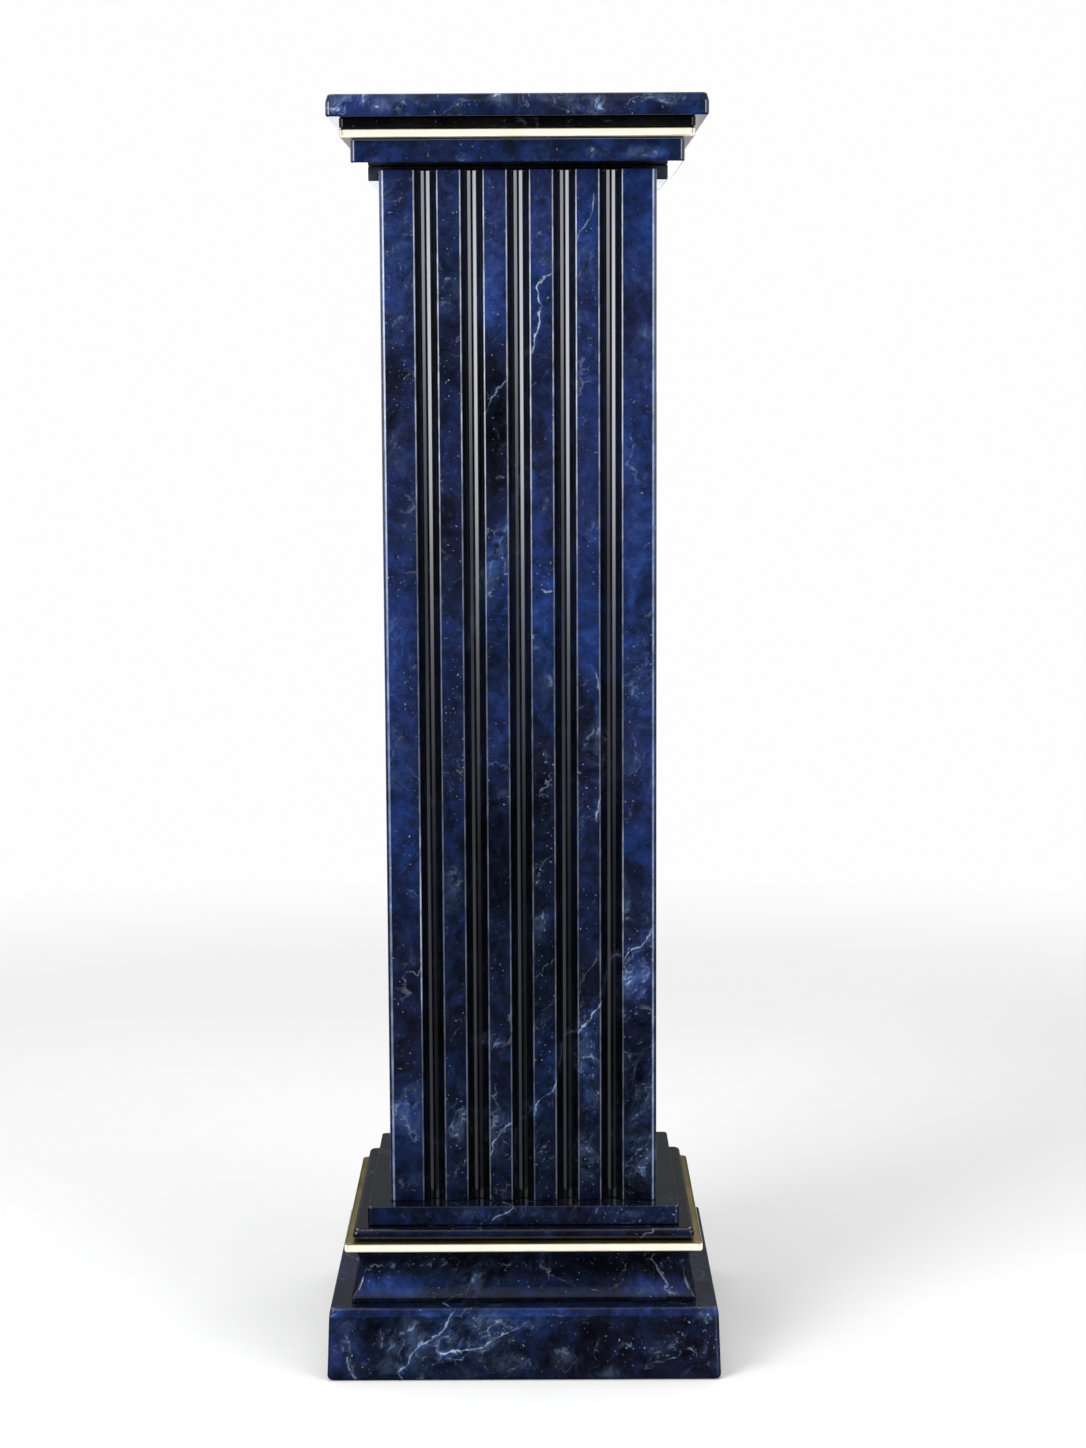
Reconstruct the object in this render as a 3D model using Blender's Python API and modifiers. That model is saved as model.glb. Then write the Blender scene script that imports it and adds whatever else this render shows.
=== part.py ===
"""Square fluted marble pedestal with two gilt bands, for Blender 4.5.

Metres, +Z up. The origin is the middle of the plinth's underside, and the front faces -Y.
The column is a stack of courses on one upright axis, each a solid of its own with a thin joint under it.
"""

import math

import bmesh
import bpy
from mathutils import Matrix

# Joints: the thin gap that each course keeps to the one below it, and beside pieces that it faces.
JOINT = 0.0003

# Heights of the courses, from the floor up.
PLINTH_HEIGHT = 0.0585
SCOTIA_HEIGHT = 0.0420
LOWER_BAND_HEIGHT = 0.0078
NOSING_HEIGHT = 0.0098
BASE_SLAB_HEIGHT = 0.0157
SHAFT_HEIGHT = 0.8120
NECK_HEIGHT = 0.0042
CAPITAL_SLAB_HEIGHT = 0.0179
UPPER_BAND_HEIGHT = 0.0075
FILLET_HEIGHT = 0.0076
TOP_SLAB_HEIGHT = 0.0170

# The shaft's width, and how far each course stands out past the shaft's face.
SHAFT_WIDTH = 0.2134
PLINTH_PROJECTION = 0.0499
SCOTIA_PROJECTION = 0.0306
LOWER_BAND_PROJECTION = 0.0356
NOSING_PROJECTION = 0.0291
BASE_SLAB_PROJECTION = 0.0176
CAPITAL_SLAB_PROJECTION = 0.0203
UPPER_BAND_PROJECTION = 0.0282
FILLET_PROJECTION = 0.0282
TOP_SLAB_PROJECTION = 0.0378

# Flutes: half-round channels that run the whole height of each face.
FLUTES_PER_FACE = 5
FLUTE_RADIUS = 0.0084
BORDER_WIDTH = 0.0272
ARRIS_ROUND = 0.0007
SHAFT_CORNER_ROUND = 0.0036
FLUTE_SIDES = 24

# Plinth and top slab: a sloped band round the upper edge, and on the plinth a slight batter.
PLINTH_BATTER = 0.0020
PLINTH_BAND_HEIGHT = 0.0064
PLINTH_BAND_INSET = 0.0010
PLINTH_FOOT_ROUND = 0.0040
TOP_BAND_HEIGHT = 0.0062
TOP_BAND_INSET = 0.0018
TOP_FOOT_ROUND = 0.0016
BAND_EASE = 0.0008

# Scotia: an upright foot, then a hollow that comes back out to the course above.
SCOTIA_FOOT_HEIGHT = 0.0036
SCOTIA_TOP_SETBACK = 0.0030
SCOTIA_HOLLOW_DEPTH = 0.0065

# Rounding of the plain slabs: along their top and bottom edges, and at their upright corners.
SLAB_EDGE_ROUND = 0.0013
NOSE_ROUND = 0.0040
GILT_EDGE_ROUND = 0.0020
FILLET_EDGE_ROUND = 0.0008
STONE_CORNER_ROUND = 0.0032
GILT_CORNER_ROUND = 0.0038

# Neck saddle: a plate set back under the capital, with a lip down each side of the shaft.
SADDLE_SETBACK = 0.0250
LIP_THICKNESS = 0.0090
LIP_DROP = 0.0069
SADDLE_ROUND = 0.0012

ARC_STEPS = 3
HOLLOW_STEPS = 12
CORNER_SEGMENTS = 3

COLLECTION_NAME = "decorative_column"
CUTTER_COLLECTION_NAME = "cutters"

# Base colour, metallic, roughness.
FINISHES = {
    "blue_marble": ((0.012, 0.020, 0.062), 0.0, 0.12),
    "black_marble": ((0.006, 0.007, 0.010), 0.0, 0.14),
    "gilt_brass": ((0.86, 0.68, 0.34), 1.0, 0.22),
}


def clear_scene():
    """Removes what the new file holds."""
    for scene_object in list(bpy.data.objects):
        bpy.data.objects.remove(scene_object, do_unlink=True)


def new_collection(name):
    """Returns a collection of that name under the scene."""
    collection = bpy.data.collections.new(name)
    bpy.context.scene.collection.children.link(collection)
    return collection


def finish_material(piece_name, finish_name):
    """Returns a Principled material for one piece in one of the finishes."""
    colour, metallic, roughness = FINISHES[finish_name]
    material = bpy.data.materials.new(f"{piece_name}_{finish_name}")
    material.use_nodes = True
    shader = material.node_tree.nodes["Principled BSDF"]
    shader.inputs["Base Color"].default_value = (*colour, 1.0)
    shader.inputs["Metallic"].default_value = metallic
    shader.inputs["Roughness"].default_value = roughness
    return material


def add_object(name, mesh, collection):
    """Links a new object with that mesh to the collection."""
    new_object = bpy.data.objects.new(name, mesh)
    collection.objects.link(new_object)
    return new_object


def arc(centre, radius, start, end, steps=ARC_STEPS):
    """Returns points on an arc in the profile plane, angles in degrees from +X towards +Z."""
    points = []
    for step in range(steps + 1):
        angle = math.radians(start + (end - start) * step / steps)
        points.append((centre[0] + radius * math.cos(angle), centre[1] + radius * math.sin(angle)))
    return points


def edge_round(wanted, height):
    """Limits an edge rounding to the wall that it sits on."""
    return min(wanted, 0.45 * height)


def slab_profile(half, low, high, rounding):
    """Returns a slab's outer profile, top to bottom, with both edges rounded."""
    radius = edge_round(rounding, high - low)
    upper = arc((half - radius, high - radius), radius, 90, 0)
    lower = arc((half - radius, low + radius), radius, 0, -90)
    return [(0.0, high), *upper, *lower, (0.0, low)]


def banded_profile(half, low, high, band_height, band_inset, batter, foot_round):
    """Returns a block's profile with a sloped band under its top edge and battered sides."""
    shoulder = half - batter
    crown = shoulder - band_inset
    foot = edge_round(foot_round, high - low - band_height)
    ease = edge_round(BAND_EASE, band_height)
    return [
        (0.0, high),
        *arc((crown - ease, high - ease), ease, 90, 0, 2),
        (shoulder, high - band_height),
        *arc((half - foot, low + foot), foot, 0, -90),
        (0.0, low),
    ]


def hollow_points(lip, crown, depth):
    """Returns the arc through the crown and the lip that goes in by depth at its middle."""
    chord = math.dist(lip, crown)
    radius = (chord * chord / 4 + depth * depth) / (2 * depth)
    middle = ((lip[0] + crown[0]) / 2, (lip[1] + crown[1]) / 2)
    outward = ((crown[1] - lip[1]) / chord, (lip[0] - crown[0]) / chord)
    centre = (middle[0] + outward[0] * (radius - depth), middle[1] + outward[1] * (radius - depth))
    start = math.degrees(math.atan2(crown[1] - centre[1], crown[0] - centre[0])) % 360
    end = math.degrees(math.atan2(lip[1] - centre[1], lip[0] - centre[0])) % 360
    return arc(centre, radius, start, end, HOLLOW_STEPS)


def scotia_profile(half, low, high):
    """Returns the base moulding's profile: a hollow over a small upright foot."""
    lip = (half, low + SCOTIA_FOOT_HEIGHT)
    crown = (half - SCOTIA_TOP_SETBACK, high)
    hollow = hollow_points(lip, crown, SCOTIA_HOLLOW_DEPTH)
    return [(0.0, high), *hollow, (half, low), (0.0, low)]


def turn_square(name, profile):
    """Returns the mesh of a profile turned in four steps, so that its plan is a square with mitred corners."""
    diagonal = math.sqrt(2)
    mesh = bpy.data.meshes.new(name)
    points = [(half * diagonal, 0.0, height) for half, height in profile]
    mesh.from_pydata(points, [(i, i + 1) for i in range(len(points) - 1)], [])
    guide = add_object(name, mesh, bpy.context.scene.collection)
    screw = guide.modifiers.new("turn", "SCREW")
    screw.axis = "Z"
    screw.steps = 4
    screw.render_steps = 4
    screw.use_merge_vertices = True
    screw.merge_threshold = 0.0001
    screw.use_smooth_shade = False
    depsgraph = bpy.context.evaluated_depsgraph_get()
    turned = bpy.data.meshes.new_from_object(guide.evaluated_get(depsgraph))
    bpy.data.objects.remove(guide, do_unlink=True)
    return turned


def round_corners(mesh, radius):
    """Squares the turned mesh up to X and Y, cleans its flat ends and rounds its upright corners."""
    bm = bmesh.new()
    bm.from_mesh(mesh)
    bmesh.ops.rotate(bm, verts=bm.verts, cent=(0, 0, 0), matrix=Matrix.Rotation(math.radians(45), 3, "Z"))
    bmesh.ops.dissolve_limit(bm, angle_limit=math.radians(0.5), verts=bm.verts, edges=bm.edges)
    mitres = [edge for edge in bm.edges if is_mitre(edge)]
    bmesh.ops.bevel(
        bm,
        geom=mitres,
        offset=radius,
        offset_type="OFFSET",
        segments=CORNER_SEGMENTS,
        profile=0.5,
        affect="EDGES",
        clamp_overlap=True,
    )
    bmesh.ops.remove_doubles(bm, verts=bm.verts, dist=0.00001)
    bmesh.ops.recalc_face_normals(bm, faces=bm.faces)
    bm.to_mesh(mesh)
    bm.free()


def is_mitre(edge):
    """Tells whether an edge lies in one of the two upright planes through the square's corners."""
    ends = [vertex.co for vertex in edge.verts]
    on_diagonal = all(abs(abs(co.x) - abs(co.y)) < 1e-6 and abs(co.x) > 1e-4 for co in ends)
    return on_diagonal and (ends[0].x * ends[1].x > 0) and (ends[0].y * ends[1].y > 0)


def moulded_block(name, profile, corner_radius, finish_name, collection):
    """Adds one course: its profile taken round a square, with rounded upright corners."""
    mesh = turn_square(name, profile)
    round_corners(mesh, corner_radius)
    mesh.name = name
    mesh.materials.clear()
    mesh.materials.append(finish_material(name, finish_name))
    mesh.shade_smooth()
    mesh.set_sharp_from_angle(angle=math.radians(40))
    return add_object(name, mesh, collection)


def add_box(name, size, centre, collection):
    """Adds a box of that size, with its scale applied."""
    mesh = bpy.data.meshes.new(name)
    bm = bmesh.new()
    bmesh.ops.create_cube(bm, size=1.0)
    bmesh.ops.scale(bm, vec=size, verts=bm.verts)
    bm.to_mesh(mesh)
    bm.free()
    box = add_object(name, mesh, collection)
    box.location = centre
    return box


def hide_cutter(cutter):
    """Marks an object as a cutter."""
    cutter.hide_render = True
    cutter.display_type = "WIRE"


def add_boolean(target, cutter):
    """Cuts the cutter out of the target."""
    boolean = target.modifiers.new("cut", "BOOLEAN")
    boolean.operation = "DIFFERENCE"
    boolean.solver = "EXACT"
    boolean.object = cutter


def add_bevel(target, width, segments):
    """Rounds the edges where faces meet at more than 50 degrees."""
    bevel = target.modifiers.new("round", "BEVEL")
    bevel.limit_method = "ANGLE"
    bevel.angle_limit = math.radians(50)
    bevel.width = width
    bevel.segments = segments


def flute_centres(half):
    """Returns how far each flute's middle is from the middle of its face."""
    first = -half + BORDER_WIDTH + FLUTE_RADIUS
    pitch = -2 * first / (FLUTES_PER_FACE - 1)
    return [first + pitch * index for index in range(FLUTES_PER_FACE)]


def add_flute_cutter(half, low, high, collection):
    """Adds the cutter for all four faces: one upright cylinder on the face for each flute."""
    overshoot = 0.01
    length = high - low + 2 * overshoot
    mesh = bpy.data.meshes.new("flute_cutter")
    bm = bmesh.new()
    for face in range(4):
        turn = math.radians(90 * face)
        for across in flute_centres(half):
            made = bmesh.ops.create_cone(
                bm,
                cap_ends=True,
                segments=FLUTE_SIDES,
                radius1=FLUTE_RADIUS,
                radius2=FLUTE_RADIUS,
                depth=length,
            )
            x = across * math.cos(turn) + half * math.sin(turn)
            y = across * math.sin(turn) - half * math.cos(turn)
            bmesh.ops.translate(bm, vec=(x, y, (low + high) / 2), verts=made["verts"])
    bm.to_mesh(mesh)
    bm.free()
    cutter = add_object("flute_cutter", mesh, collection)
    hide_cutter(cutter)
    return cutter


def build_shaft(low, high, collection, cutters):
    """Adds the fluted shaft: a square block with rounded corners, fluted on every face."""
    half = SHAFT_WIDTH / 2
    profile = [(0.0, high), (half, high), (half, low), (0.0, low)]
    shaft = moulded_block("shaft", profile, SHAFT_CORNER_ROUND, "blue_marble", collection)
    add_boolean(shaft, add_flute_cutter(half, low, high, cutters))
    add_bevel(shaft, ARRIS_ROUND, 2)


def build_saddle(shaft_top, low, high, collection, cutters):
    """Adds the neck saddle: a plate over the shaft's top with a lip down each side."""
    half_shaft = SHAFT_WIDTH / 2
    half_across = half_shaft + JOINT + LIP_THICKNESS
    half_deep = half_shaft - SADDLE_SETBACK
    bottom = shaft_top - LIP_DROP
    size = (2 * half_across, 2 * half_deep, high - bottom)
    saddle = add_box("neck_saddle", size, (0, 0, (high + bottom) / 2), collection)
    channel_width = 2 * (half_shaft + JOINT)
    channel_size = (channel_width, 4 * half_deep, 2 * (low - bottom))
    channel = add_box("saddle_channel", channel_size, (0, 0, bottom), cutters)
    hide_cutter(channel)
    add_bevel(saddle, min(SADDLE_ROUND, 0.3 * (high - low), 0.3 * LIP_THICKNESS), 2)
    add_boolean(saddle, channel)
    saddle.data.materials.append(finish_material("neck_saddle", "black_marble"))


def stone_course(name, level, height, projection, rounding, collection, finish_name="blue_marble"):
    """Adds a plain stone slab over the level and returns the level on top of it."""
    top = level + height
    profile = slab_profile(SHAFT_WIDTH / 2 + projection, level + JOINT, top, rounding)
    moulded_block(name, profile, STONE_CORNER_ROUND, finish_name, collection)
    return top


def gilt_course(name, level, height, projection, collection):
    """Adds a gilt band over the level and returns the level on top of it."""
    top = level + height
    profile = slab_profile(SHAFT_WIDTH / 2 + projection, level + JOINT, top, GILT_EDGE_ROUND)
    moulded_block(name, profile, GILT_CORNER_ROUND, "gilt_brass", collection)
    return top


def build_column():
    """Builds the courses from the floor up."""
    parts = new_collection(COLLECTION_NAME)
    cutters = new_collection(CUTTER_COLLECTION_NAME)
    half_shaft = SHAFT_WIDTH / 2

    plinth_top = PLINTH_HEIGHT
    plinth = banded_profile(
        half_shaft + PLINTH_PROJECTION,
        0.0,
        plinth_top,
        PLINTH_BAND_HEIGHT,
        PLINTH_BAND_INSET,
        PLINTH_BATTER,
        PLINTH_FOOT_ROUND,
    )
    moulded_block("plinth", plinth, STONE_CORNER_ROUND, "blue_marble", parts)

    level = plinth_top + SCOTIA_HEIGHT
    scotia = scotia_profile(half_shaft + SCOTIA_PROJECTION, plinth_top + JOINT, level)
    moulded_block("base_scotia", scotia, STONE_CORNER_ROUND / 2, "blue_marble", parts)

    level = gilt_course("gold_band_lower", level, LOWER_BAND_HEIGHT, LOWER_BAND_PROJECTION, parts)
    level = stone_course("base_nosing", level, NOSING_HEIGHT, NOSING_PROJECTION, NOSE_ROUND, parts)
    level = stone_course("base_slab", level, BASE_SLAB_HEIGHT, BASE_SLAB_PROJECTION, SLAB_EDGE_ROUND, parts)

    shaft_top = level + SHAFT_HEIGHT
    build_shaft(level + JOINT, shaft_top, parts, cutters)

    neck_top = shaft_top + NECK_HEIGHT
    build_saddle(shaft_top, shaft_top + JOINT, neck_top, parts, cutters)

    level = stone_course(
        "capital_slab", neck_top, CAPITAL_SLAB_HEIGHT, CAPITAL_SLAB_PROJECTION, SLAB_EDGE_ROUND, parts
    )
    level = gilt_course("gold_band_upper", level, UPPER_BAND_HEIGHT, UPPER_BAND_PROJECTION, parts)
    level = stone_course(
        "capital_fillet", level, FILLET_HEIGHT, FILLET_PROJECTION, FILLET_EDGE_ROUND, parts, "black_marble"
    )

    top = banded_profile(
        half_shaft + TOP_SLAB_PROJECTION,
        level + JOINT,
        level + TOP_SLAB_HEIGHT,
        TOP_BAND_HEIGHT,
        TOP_BAND_INSET,
        0.0,
        TOP_FOOT_ROUND,
    )
    moulded_block("top_slab", top, STONE_CORNER_ROUND, "blue_marble", parts)


clear_scene()
build_column()
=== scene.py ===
"""Studio scene of a square fluted pedestal in polished blue marble with two gilt bands.

The column is a stack of courses on one upright axis. Each course is built here as a finer mesh of the solid
that it stands for, and dressed in a marble or gilt finish made of shader nodes. Metres, +Z up, front to -Y.
"""

import logging
import math
from dataclasses import dataclass, field, replace
from enum import Enum

import bpy
from mathutils import Matrix, Vector


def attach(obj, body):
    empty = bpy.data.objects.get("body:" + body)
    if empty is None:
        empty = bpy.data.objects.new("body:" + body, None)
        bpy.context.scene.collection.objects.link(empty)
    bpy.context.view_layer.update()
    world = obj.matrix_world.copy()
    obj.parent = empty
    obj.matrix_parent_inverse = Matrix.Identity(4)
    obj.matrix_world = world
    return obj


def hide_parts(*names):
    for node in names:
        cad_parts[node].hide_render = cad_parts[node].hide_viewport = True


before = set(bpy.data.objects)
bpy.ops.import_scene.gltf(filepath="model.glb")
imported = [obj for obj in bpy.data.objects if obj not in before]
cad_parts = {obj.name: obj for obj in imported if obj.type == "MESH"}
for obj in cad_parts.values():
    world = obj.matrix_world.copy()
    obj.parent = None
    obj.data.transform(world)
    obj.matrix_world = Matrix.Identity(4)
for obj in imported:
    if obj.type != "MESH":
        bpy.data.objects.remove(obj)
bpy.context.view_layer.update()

log = logging.getLogger("pedestal")

# A place in a plane, a place in space, and a corner in a plane with the radius that it is rounded to.
Point = tuple[float, float]
Place = tuple[float, float, float]
Corner = tuple[float, float, float]
Colour = tuple[float, float, float]
Socket = bpy.types.NodeSocket
Value = Socket | float | int | tuple

# How far in from its rim a course's flat end starts, and a plain slab's from where its rounding ends.
END_INSET = 0.012
SLAB_INSET = 0.004
# Edges that turn by more degrees than this stay sharp, and large flat faces lead the shading by this weight.
SHARP_TURN = 42
FLAT_FACE_WEIGHT = 80


class Runs(Enum):
    """Which way a vein runs over the stone, seen from the front."""

    UP = "up"
    ACROSS = "across"


class Ground(Enum):
    """What part of the shaft's outline a strip of its surface belongs to."""

    FLAT = "flat"
    CORNER = "corner"
    RIM = "rim"
    ARRIS = "arris"
    FLUTE = "flute"


class Noise(Enum):
    """How a field of noise is built up, by the node's own names."""

    CLOUDY = "FBM"
    RIDGED = "RIDGED_MULTIFRACTAL"


# Node graphs


@dataclass(frozen=True)
class Swirl:
    """A field of noise, by its swirls per metre, and the range that it is eased over."""

    scale: float
    detail: float
    rough: float
    low: float = 0.0
    high: float = 1.0
    least: float = 0.0
    most: float = 1.0
    kind: Noise = Noise.CLOUDY


class NodeGraph:
    """Adds shader nodes to one tree and joins them."""

    def __init__(self, tree: bpy.types.NodeTree) -> None:
        """Starts from an emptied tree."""
        self.tree = tree
        tree.nodes.clear()

    def add(self, kind: str, **settings: object) -> bpy.types.Node:
        """Adds a node.

        Args:
            kind: the node's class name.
            settings: properties to set on it.

        Returns:
            The new node.
        """
        node = self.tree.nodes.new(kind)
        for key, value in settings.items():
            setattr(node, key, value)
        return node

    def plug(self, value: Value, socket: Socket) -> None:
        """Joins a socket to an input, or sets the input to a number or a tuple.

        Args:
            value: an output socket, a number or a tuple.
            socket: the input that takes it.
        """
        if isinstance(value, Socket):
            self.tree.links.new(value, socket)
        else:
            socket.default_value = value

    def fill(self, kind: str, inputs: dict[str, Value]) -> bpy.types.Node:
        """Adds a node and fills its inputs.

        Args:
            kind: the node's class name.
            inputs: a value for each input, by the input's name.

        Returns:
            The new node.
        """
        node = self.add(kind)
        for name, value in inputs.items():
            self.plug(value, node.inputs[name])
        return node

    def end(self, shader: bpy.types.Node, kind: str = "ShaderNodeOutputMaterial") -> None:
        """Joins a shader to the tree's output."""
        self.plug(shader.outputs[0], self.add(kind).inputs[0])

    def place(self) -> Socket:
        """Gives the place on the object, in metres."""
        return self.add("ShaderNodeTexCoord").outputs["Object"]

    def split(self, value: Value) -> tuple[Socket, ...]:
        """Splits a vector.

        Args:
            value: the vector.

        Returns:
            The sockets of its x, y and z.
        """
        node = self.add("ShaderNodeSeparateXYZ")
        self.plug(value, node.inputs[0])
        return tuple(node.outputs)

    def upness(self) -> Socket:
        """Gives how far the surface faces up: 1 for a ledge, 0 for a side, -1 for an underside."""
        return self.split(self.add("ShaderNodeNewGeometry").outputs["Normal"])[2]

    def mark(self, ground: Ground) -> Socket:
        """Gives 1 where the surface is marked as that ground, and 0 elsewhere."""
        return self.add("ShaderNodeAttribute", attribute_name=ground.value).outputs["Fac"]

    def math(self, operation: str, a: Value, b: Value = 0.0, c: Value = 0.0) -> Socket:
        """Does one sum.

        Args:
            operation: the Math node's operation.
            a: first value.
            b: second value.
            c: third value.

        Returns:
            The result's socket.
        """
        node = self.add("ShaderNodeMath", operation=operation)
        for value, socket in zip((a, b, c), node.inputs):
            self.plug(value, socket)
        return node.outputs[0]

    def vector(self, operation: str, a: Value, b: Value = (0.0, 0.0, 0.0), scale: Value = 1.0) -> Socket:
        """Does one vector sum.

        Args:
            operation: the Vector Math node's operation.
            a: first vector.
            b: second vector.
            scale: the factor that SCALE takes.

        Returns:
            The result's socket: a number for LENGTH, else a vector.
        """
        node = self.add("ShaderNodeVectorMath", operation=operation)
        self.plug(a, node.inputs[0])
        self.plug(b, node.inputs[1])
        self.plug(scale, node.inputs[3])
        return node.outputs[1 if operation == "LENGTH" else 0]

    def share(self, value: Value, low: float, high: float) -> Socket:
        """Gives how far a value is on its way from low to high."""
        return self.math("DIVIDE", self.math("SUBTRACT", value, low), high - low)

    def smooth(
        self, value: Value, low: float, high: float, to_low: float = 0.0, to_high: float = 1.0
    ) -> Socket:
        """Eases a value from one range to another, held at the ends.

        Args:
            value: the value to map.
            low: where the easing starts.
            high: where it ends.
            to_low: the result at the start.
            to_high: the result at the end.

        Returns:
            The result's socket.
        """
        node = self.add("ShaderNodeMapRange", interpolation_type="SMOOTHSTEP")
        for number, given in enumerate((value, low, high, to_low, to_high)):
            self.plug(given, node.inputs[number])
        return node.outputs[0]

    def noise(self, coords: Value, swirl: Swirl) -> bpy.types.Node:
        """Adds a noise field.

        Args:
            coords: where it is read.
            swirl: what the noise is like.

        Returns:
            The node, with a Fac and a Color output.
        """
        node = self.add("ShaderNodeTexNoise", noise_type=swirl.kind.value)
        self.plug(coords, node.inputs["Vector"])
        self.plug(swirl.scale, node.inputs["Scale"])
        self.plug(swirl.detail, node.inputs["Detail"])
        self.plug(swirl.rough, node.inputs["Roughness"])
        if swirl.kind is Noise.RIDGED:
            self.plug(1.0, node.inputs["Offset"])
            self.plug(2.0, node.inputs["Gain"])
        return node

    def patchy(self, coords: Value, swirl: Swirl) -> Socket:
        """Gives noise that is eased over its range."""
        fac = self.noise(coords, swirl).outputs["Fac"]
        return self.smooth(fac, swirl.low, swirl.high, swirl.least, swirl.most)

    def centred(self, coords: Value, swirl: Swirl, gain: float) -> Socket:
        """Gives noise that swings by half the gain to each side of nought."""
        fac = self.noise(coords, swirl).outputs["Fac"]
        return self.math("MULTIPLY", self.math("SUBTRACT", fac, 0.5), gain)

    def shove(self, coords: Value, swirl: Swirl, reach: float) -> Socket:
        """Gives a vector of noise that swings by half the reach to each side of nought."""
        colour = self.noise(coords, swirl).outputs["Color"]
        return self.vector("SCALE", self.vector("SUBTRACT", colour, (0.5, 0.5, 0.5)), scale=reach)

    def ramp(self, value: Value, stops: tuple[tuple[float, Colour], ...]) -> Socket:
        """Turns a value into a colour.

        Args:
            value: what is looked up, from 0 to 1.
            stops: places on the ramp and the colours there.

        Returns:
            The colour's socket.
        """
        node = self.add("ShaderNodeValToRGB")
        elements = node.color_ramp.elements
        while len(elements) < len(stops):
            elements.new(0.5)
        for element, (place, colour) in zip(elements, stops):
            element.position = place
            element.color = (*colour, 1.0)
        self.plug(value, node.inputs[0])
        return node.outputs[0]

    def curve(self, value: Value, points: tuple[Point, ...]) -> Socket:
        """Looks a value up on a curve through points, both axes from 0 to 1.

        Args:
            value: what is looked up.
            points: the curve's points, from left to right.

        Returns:
            The result's socket.
        """
        node = self.add("ShaderNodeFloatCurve")
        line = node.mapping.curves[0]
        while len(line.points) < len(points):
            line.points.new(0.5, 0.5)
        for spot, (place, height) in zip(line.points, points):
            spot.location = (place, height)
            spot.handle_type = "AUTO_CLAMPED"
        node.mapping.use_clip = False
        node.mapping.extend = "HORIZONTAL"
        node.mapping.update()
        self.plug(value, node.inputs["Value"])
        return node.outputs[0]

    def blend(self, fac: Value, under: Value, over: Value) -> Socket:
        """Lays one colour over another.

        Args:
            fac: how much of the upper colour shows.
            under: the lower colour.
            over: the upper colour.

        Returns:
            The colour's socket.
        """
        node = self.add("ShaderNodeMix", data_type="RGBA")
        self.plug(fac, node.inputs["Factor"])
        for value, socket in ((under, node.inputs[6]), (over, node.inputs[7])):
            self.plug((*value, 1.0) if isinstance(value, tuple) else value, socket)
        return node.outputs[2]

    def largest(self, values: list[Socket]) -> Value:
        """Gives the largest of some values, or nought where there are none.

        Args:
            values: the sockets to compare.

        Returns:
            The result's socket, or 0.0.
        """
        if not values:
            return 0.0
        result = values[0]
        for value in values[1:]:
            result = self.math("MAXIMUM", result, value)
        return result

    def bump(self, swirl: Swirl, coords: Value, strength: float, distance: float) -> Socket:
        """Makes the surface slightly uneven.

        Args:
            swirl: the noise that it rises and falls with.
            coords: where that is read.
            strength: how strongly it shows.
            distance: how far it rises, in metres.

        Returns:
            The bent normal's socket.
        """
        height = self.noise(coords, swirl).outputs["Fac"]
        inputs = {"Strength": strength, "Distance": distance, "Height": height}
        return self.fill("ShaderNodeBump", inputs).outputs[0]


def new_material(name: str) -> tuple[bpy.types.Material, NodeGraph]:
    """Makes an empty material.

    Args:
        name: its name.

    Returns:
        The material and its nodes.
    """
    material = bpy.data.materials.new(name)
    material.use_nodes = True
    return material, NodeGraph(material.node_tree)


# Marble


@dataclass(frozen=True)
class Cloud:
    """A soft oval in the stone, seen from the front: a patch of tone, of smoke or of painted highlight on
    the arrises.
    """

    across: float
    up: float
    half_width: float
    half_height: float
    strength: float


@dataclass(frozen=True)
class Vein:
    """One long pale vein: a thin sheet in the stone, given by points on the front face."""

    points: tuple[Point, ...]
    width: float = 0.0009
    strength: float = 1.0
    halo: float = 0.3
    halo_widths: float = 9.0
    runs: Runs = Runs.UP
    fades: tuple[Point, ...] = ((0.0, 0.0), (0.06, 1.0), (0.9, 0.85), (1.0, 0.0))
    thinned: tuple[float, ...] = (0.34, 0.60, 0.12, 1.0)
    halo_thinned: tuple[float, ...] = (0.40, 0.62)

    def trace(self, graph: NodeGraph, across: Value, up: Value, uneven: Value) -> tuple[Socket, Socket]:
        """Adds the nodes that find this vein.

        Args:
            graph: the material's nodes.
            across: the place across the face, with the jag already in it.
            up: the height, with the jag already in it.
            uneven: noise that thins the vein in places.

        Returns:
            Sockets for the vein itself and for the glow of paler stone beside it.
        """
        order = sorted((p if self.runs is Runs.ACROSS else (p[1], p[0])) for p in self.points)
        along, aside = (across, up) if self.runs is Runs.ACROSS else (up, across)
        start, span = order[0][0], order[-1][0] - order[0][0]
        low = min(p[1] for p in order)
        reach = max(max(p[1] for p in order) - low, 1e-4)
        place = graph.share(along, start, start + span)
        path = graph.curve(place, tuple(((a - start) / span, (b - low) / reach) for a, b in order))
        centre = graph.math("MULTIPLY_ADD", path, reach, low)
        away = graph.math("ABSOLUTE", graph.math("SUBTRACT", aside, centre))
        slopes = []
        for index, (a, _) in enumerate(order):
            before, after = order[max(index - 1, 0)], order[min(index + 1, len(order) - 1)]
            slope = (after[1] - before[1]) / max(after[0] - before[0], 1e-5)
            slopes.append(((a - start) / span, 1.0 / math.sqrt(1.0 + slope * slope)))
        straight = graph.math("MULTIPLY", away, graph.curve(place, tuple(slopes)))
        fade = graph.curve(place, self.fades)
        core = graph.smooth(straight, 0.1 * self.width, self.width, self.strength, 0.0)
        glow = graph.smooth(straight, 0.0, self.halo_widths * self.width, self.halo, 0.0)
        core = graph.math("MULTIPLY", core, graph.smooth(uneven, *self.thinned))
        glow = graph.math("MULTIPLY", glow, graph.smooth(uneven, *self.halo_thinned))
        return graph.math("MULTIPLY", core, fade), graph.math("MULTIPLY", glow, fade)


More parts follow.
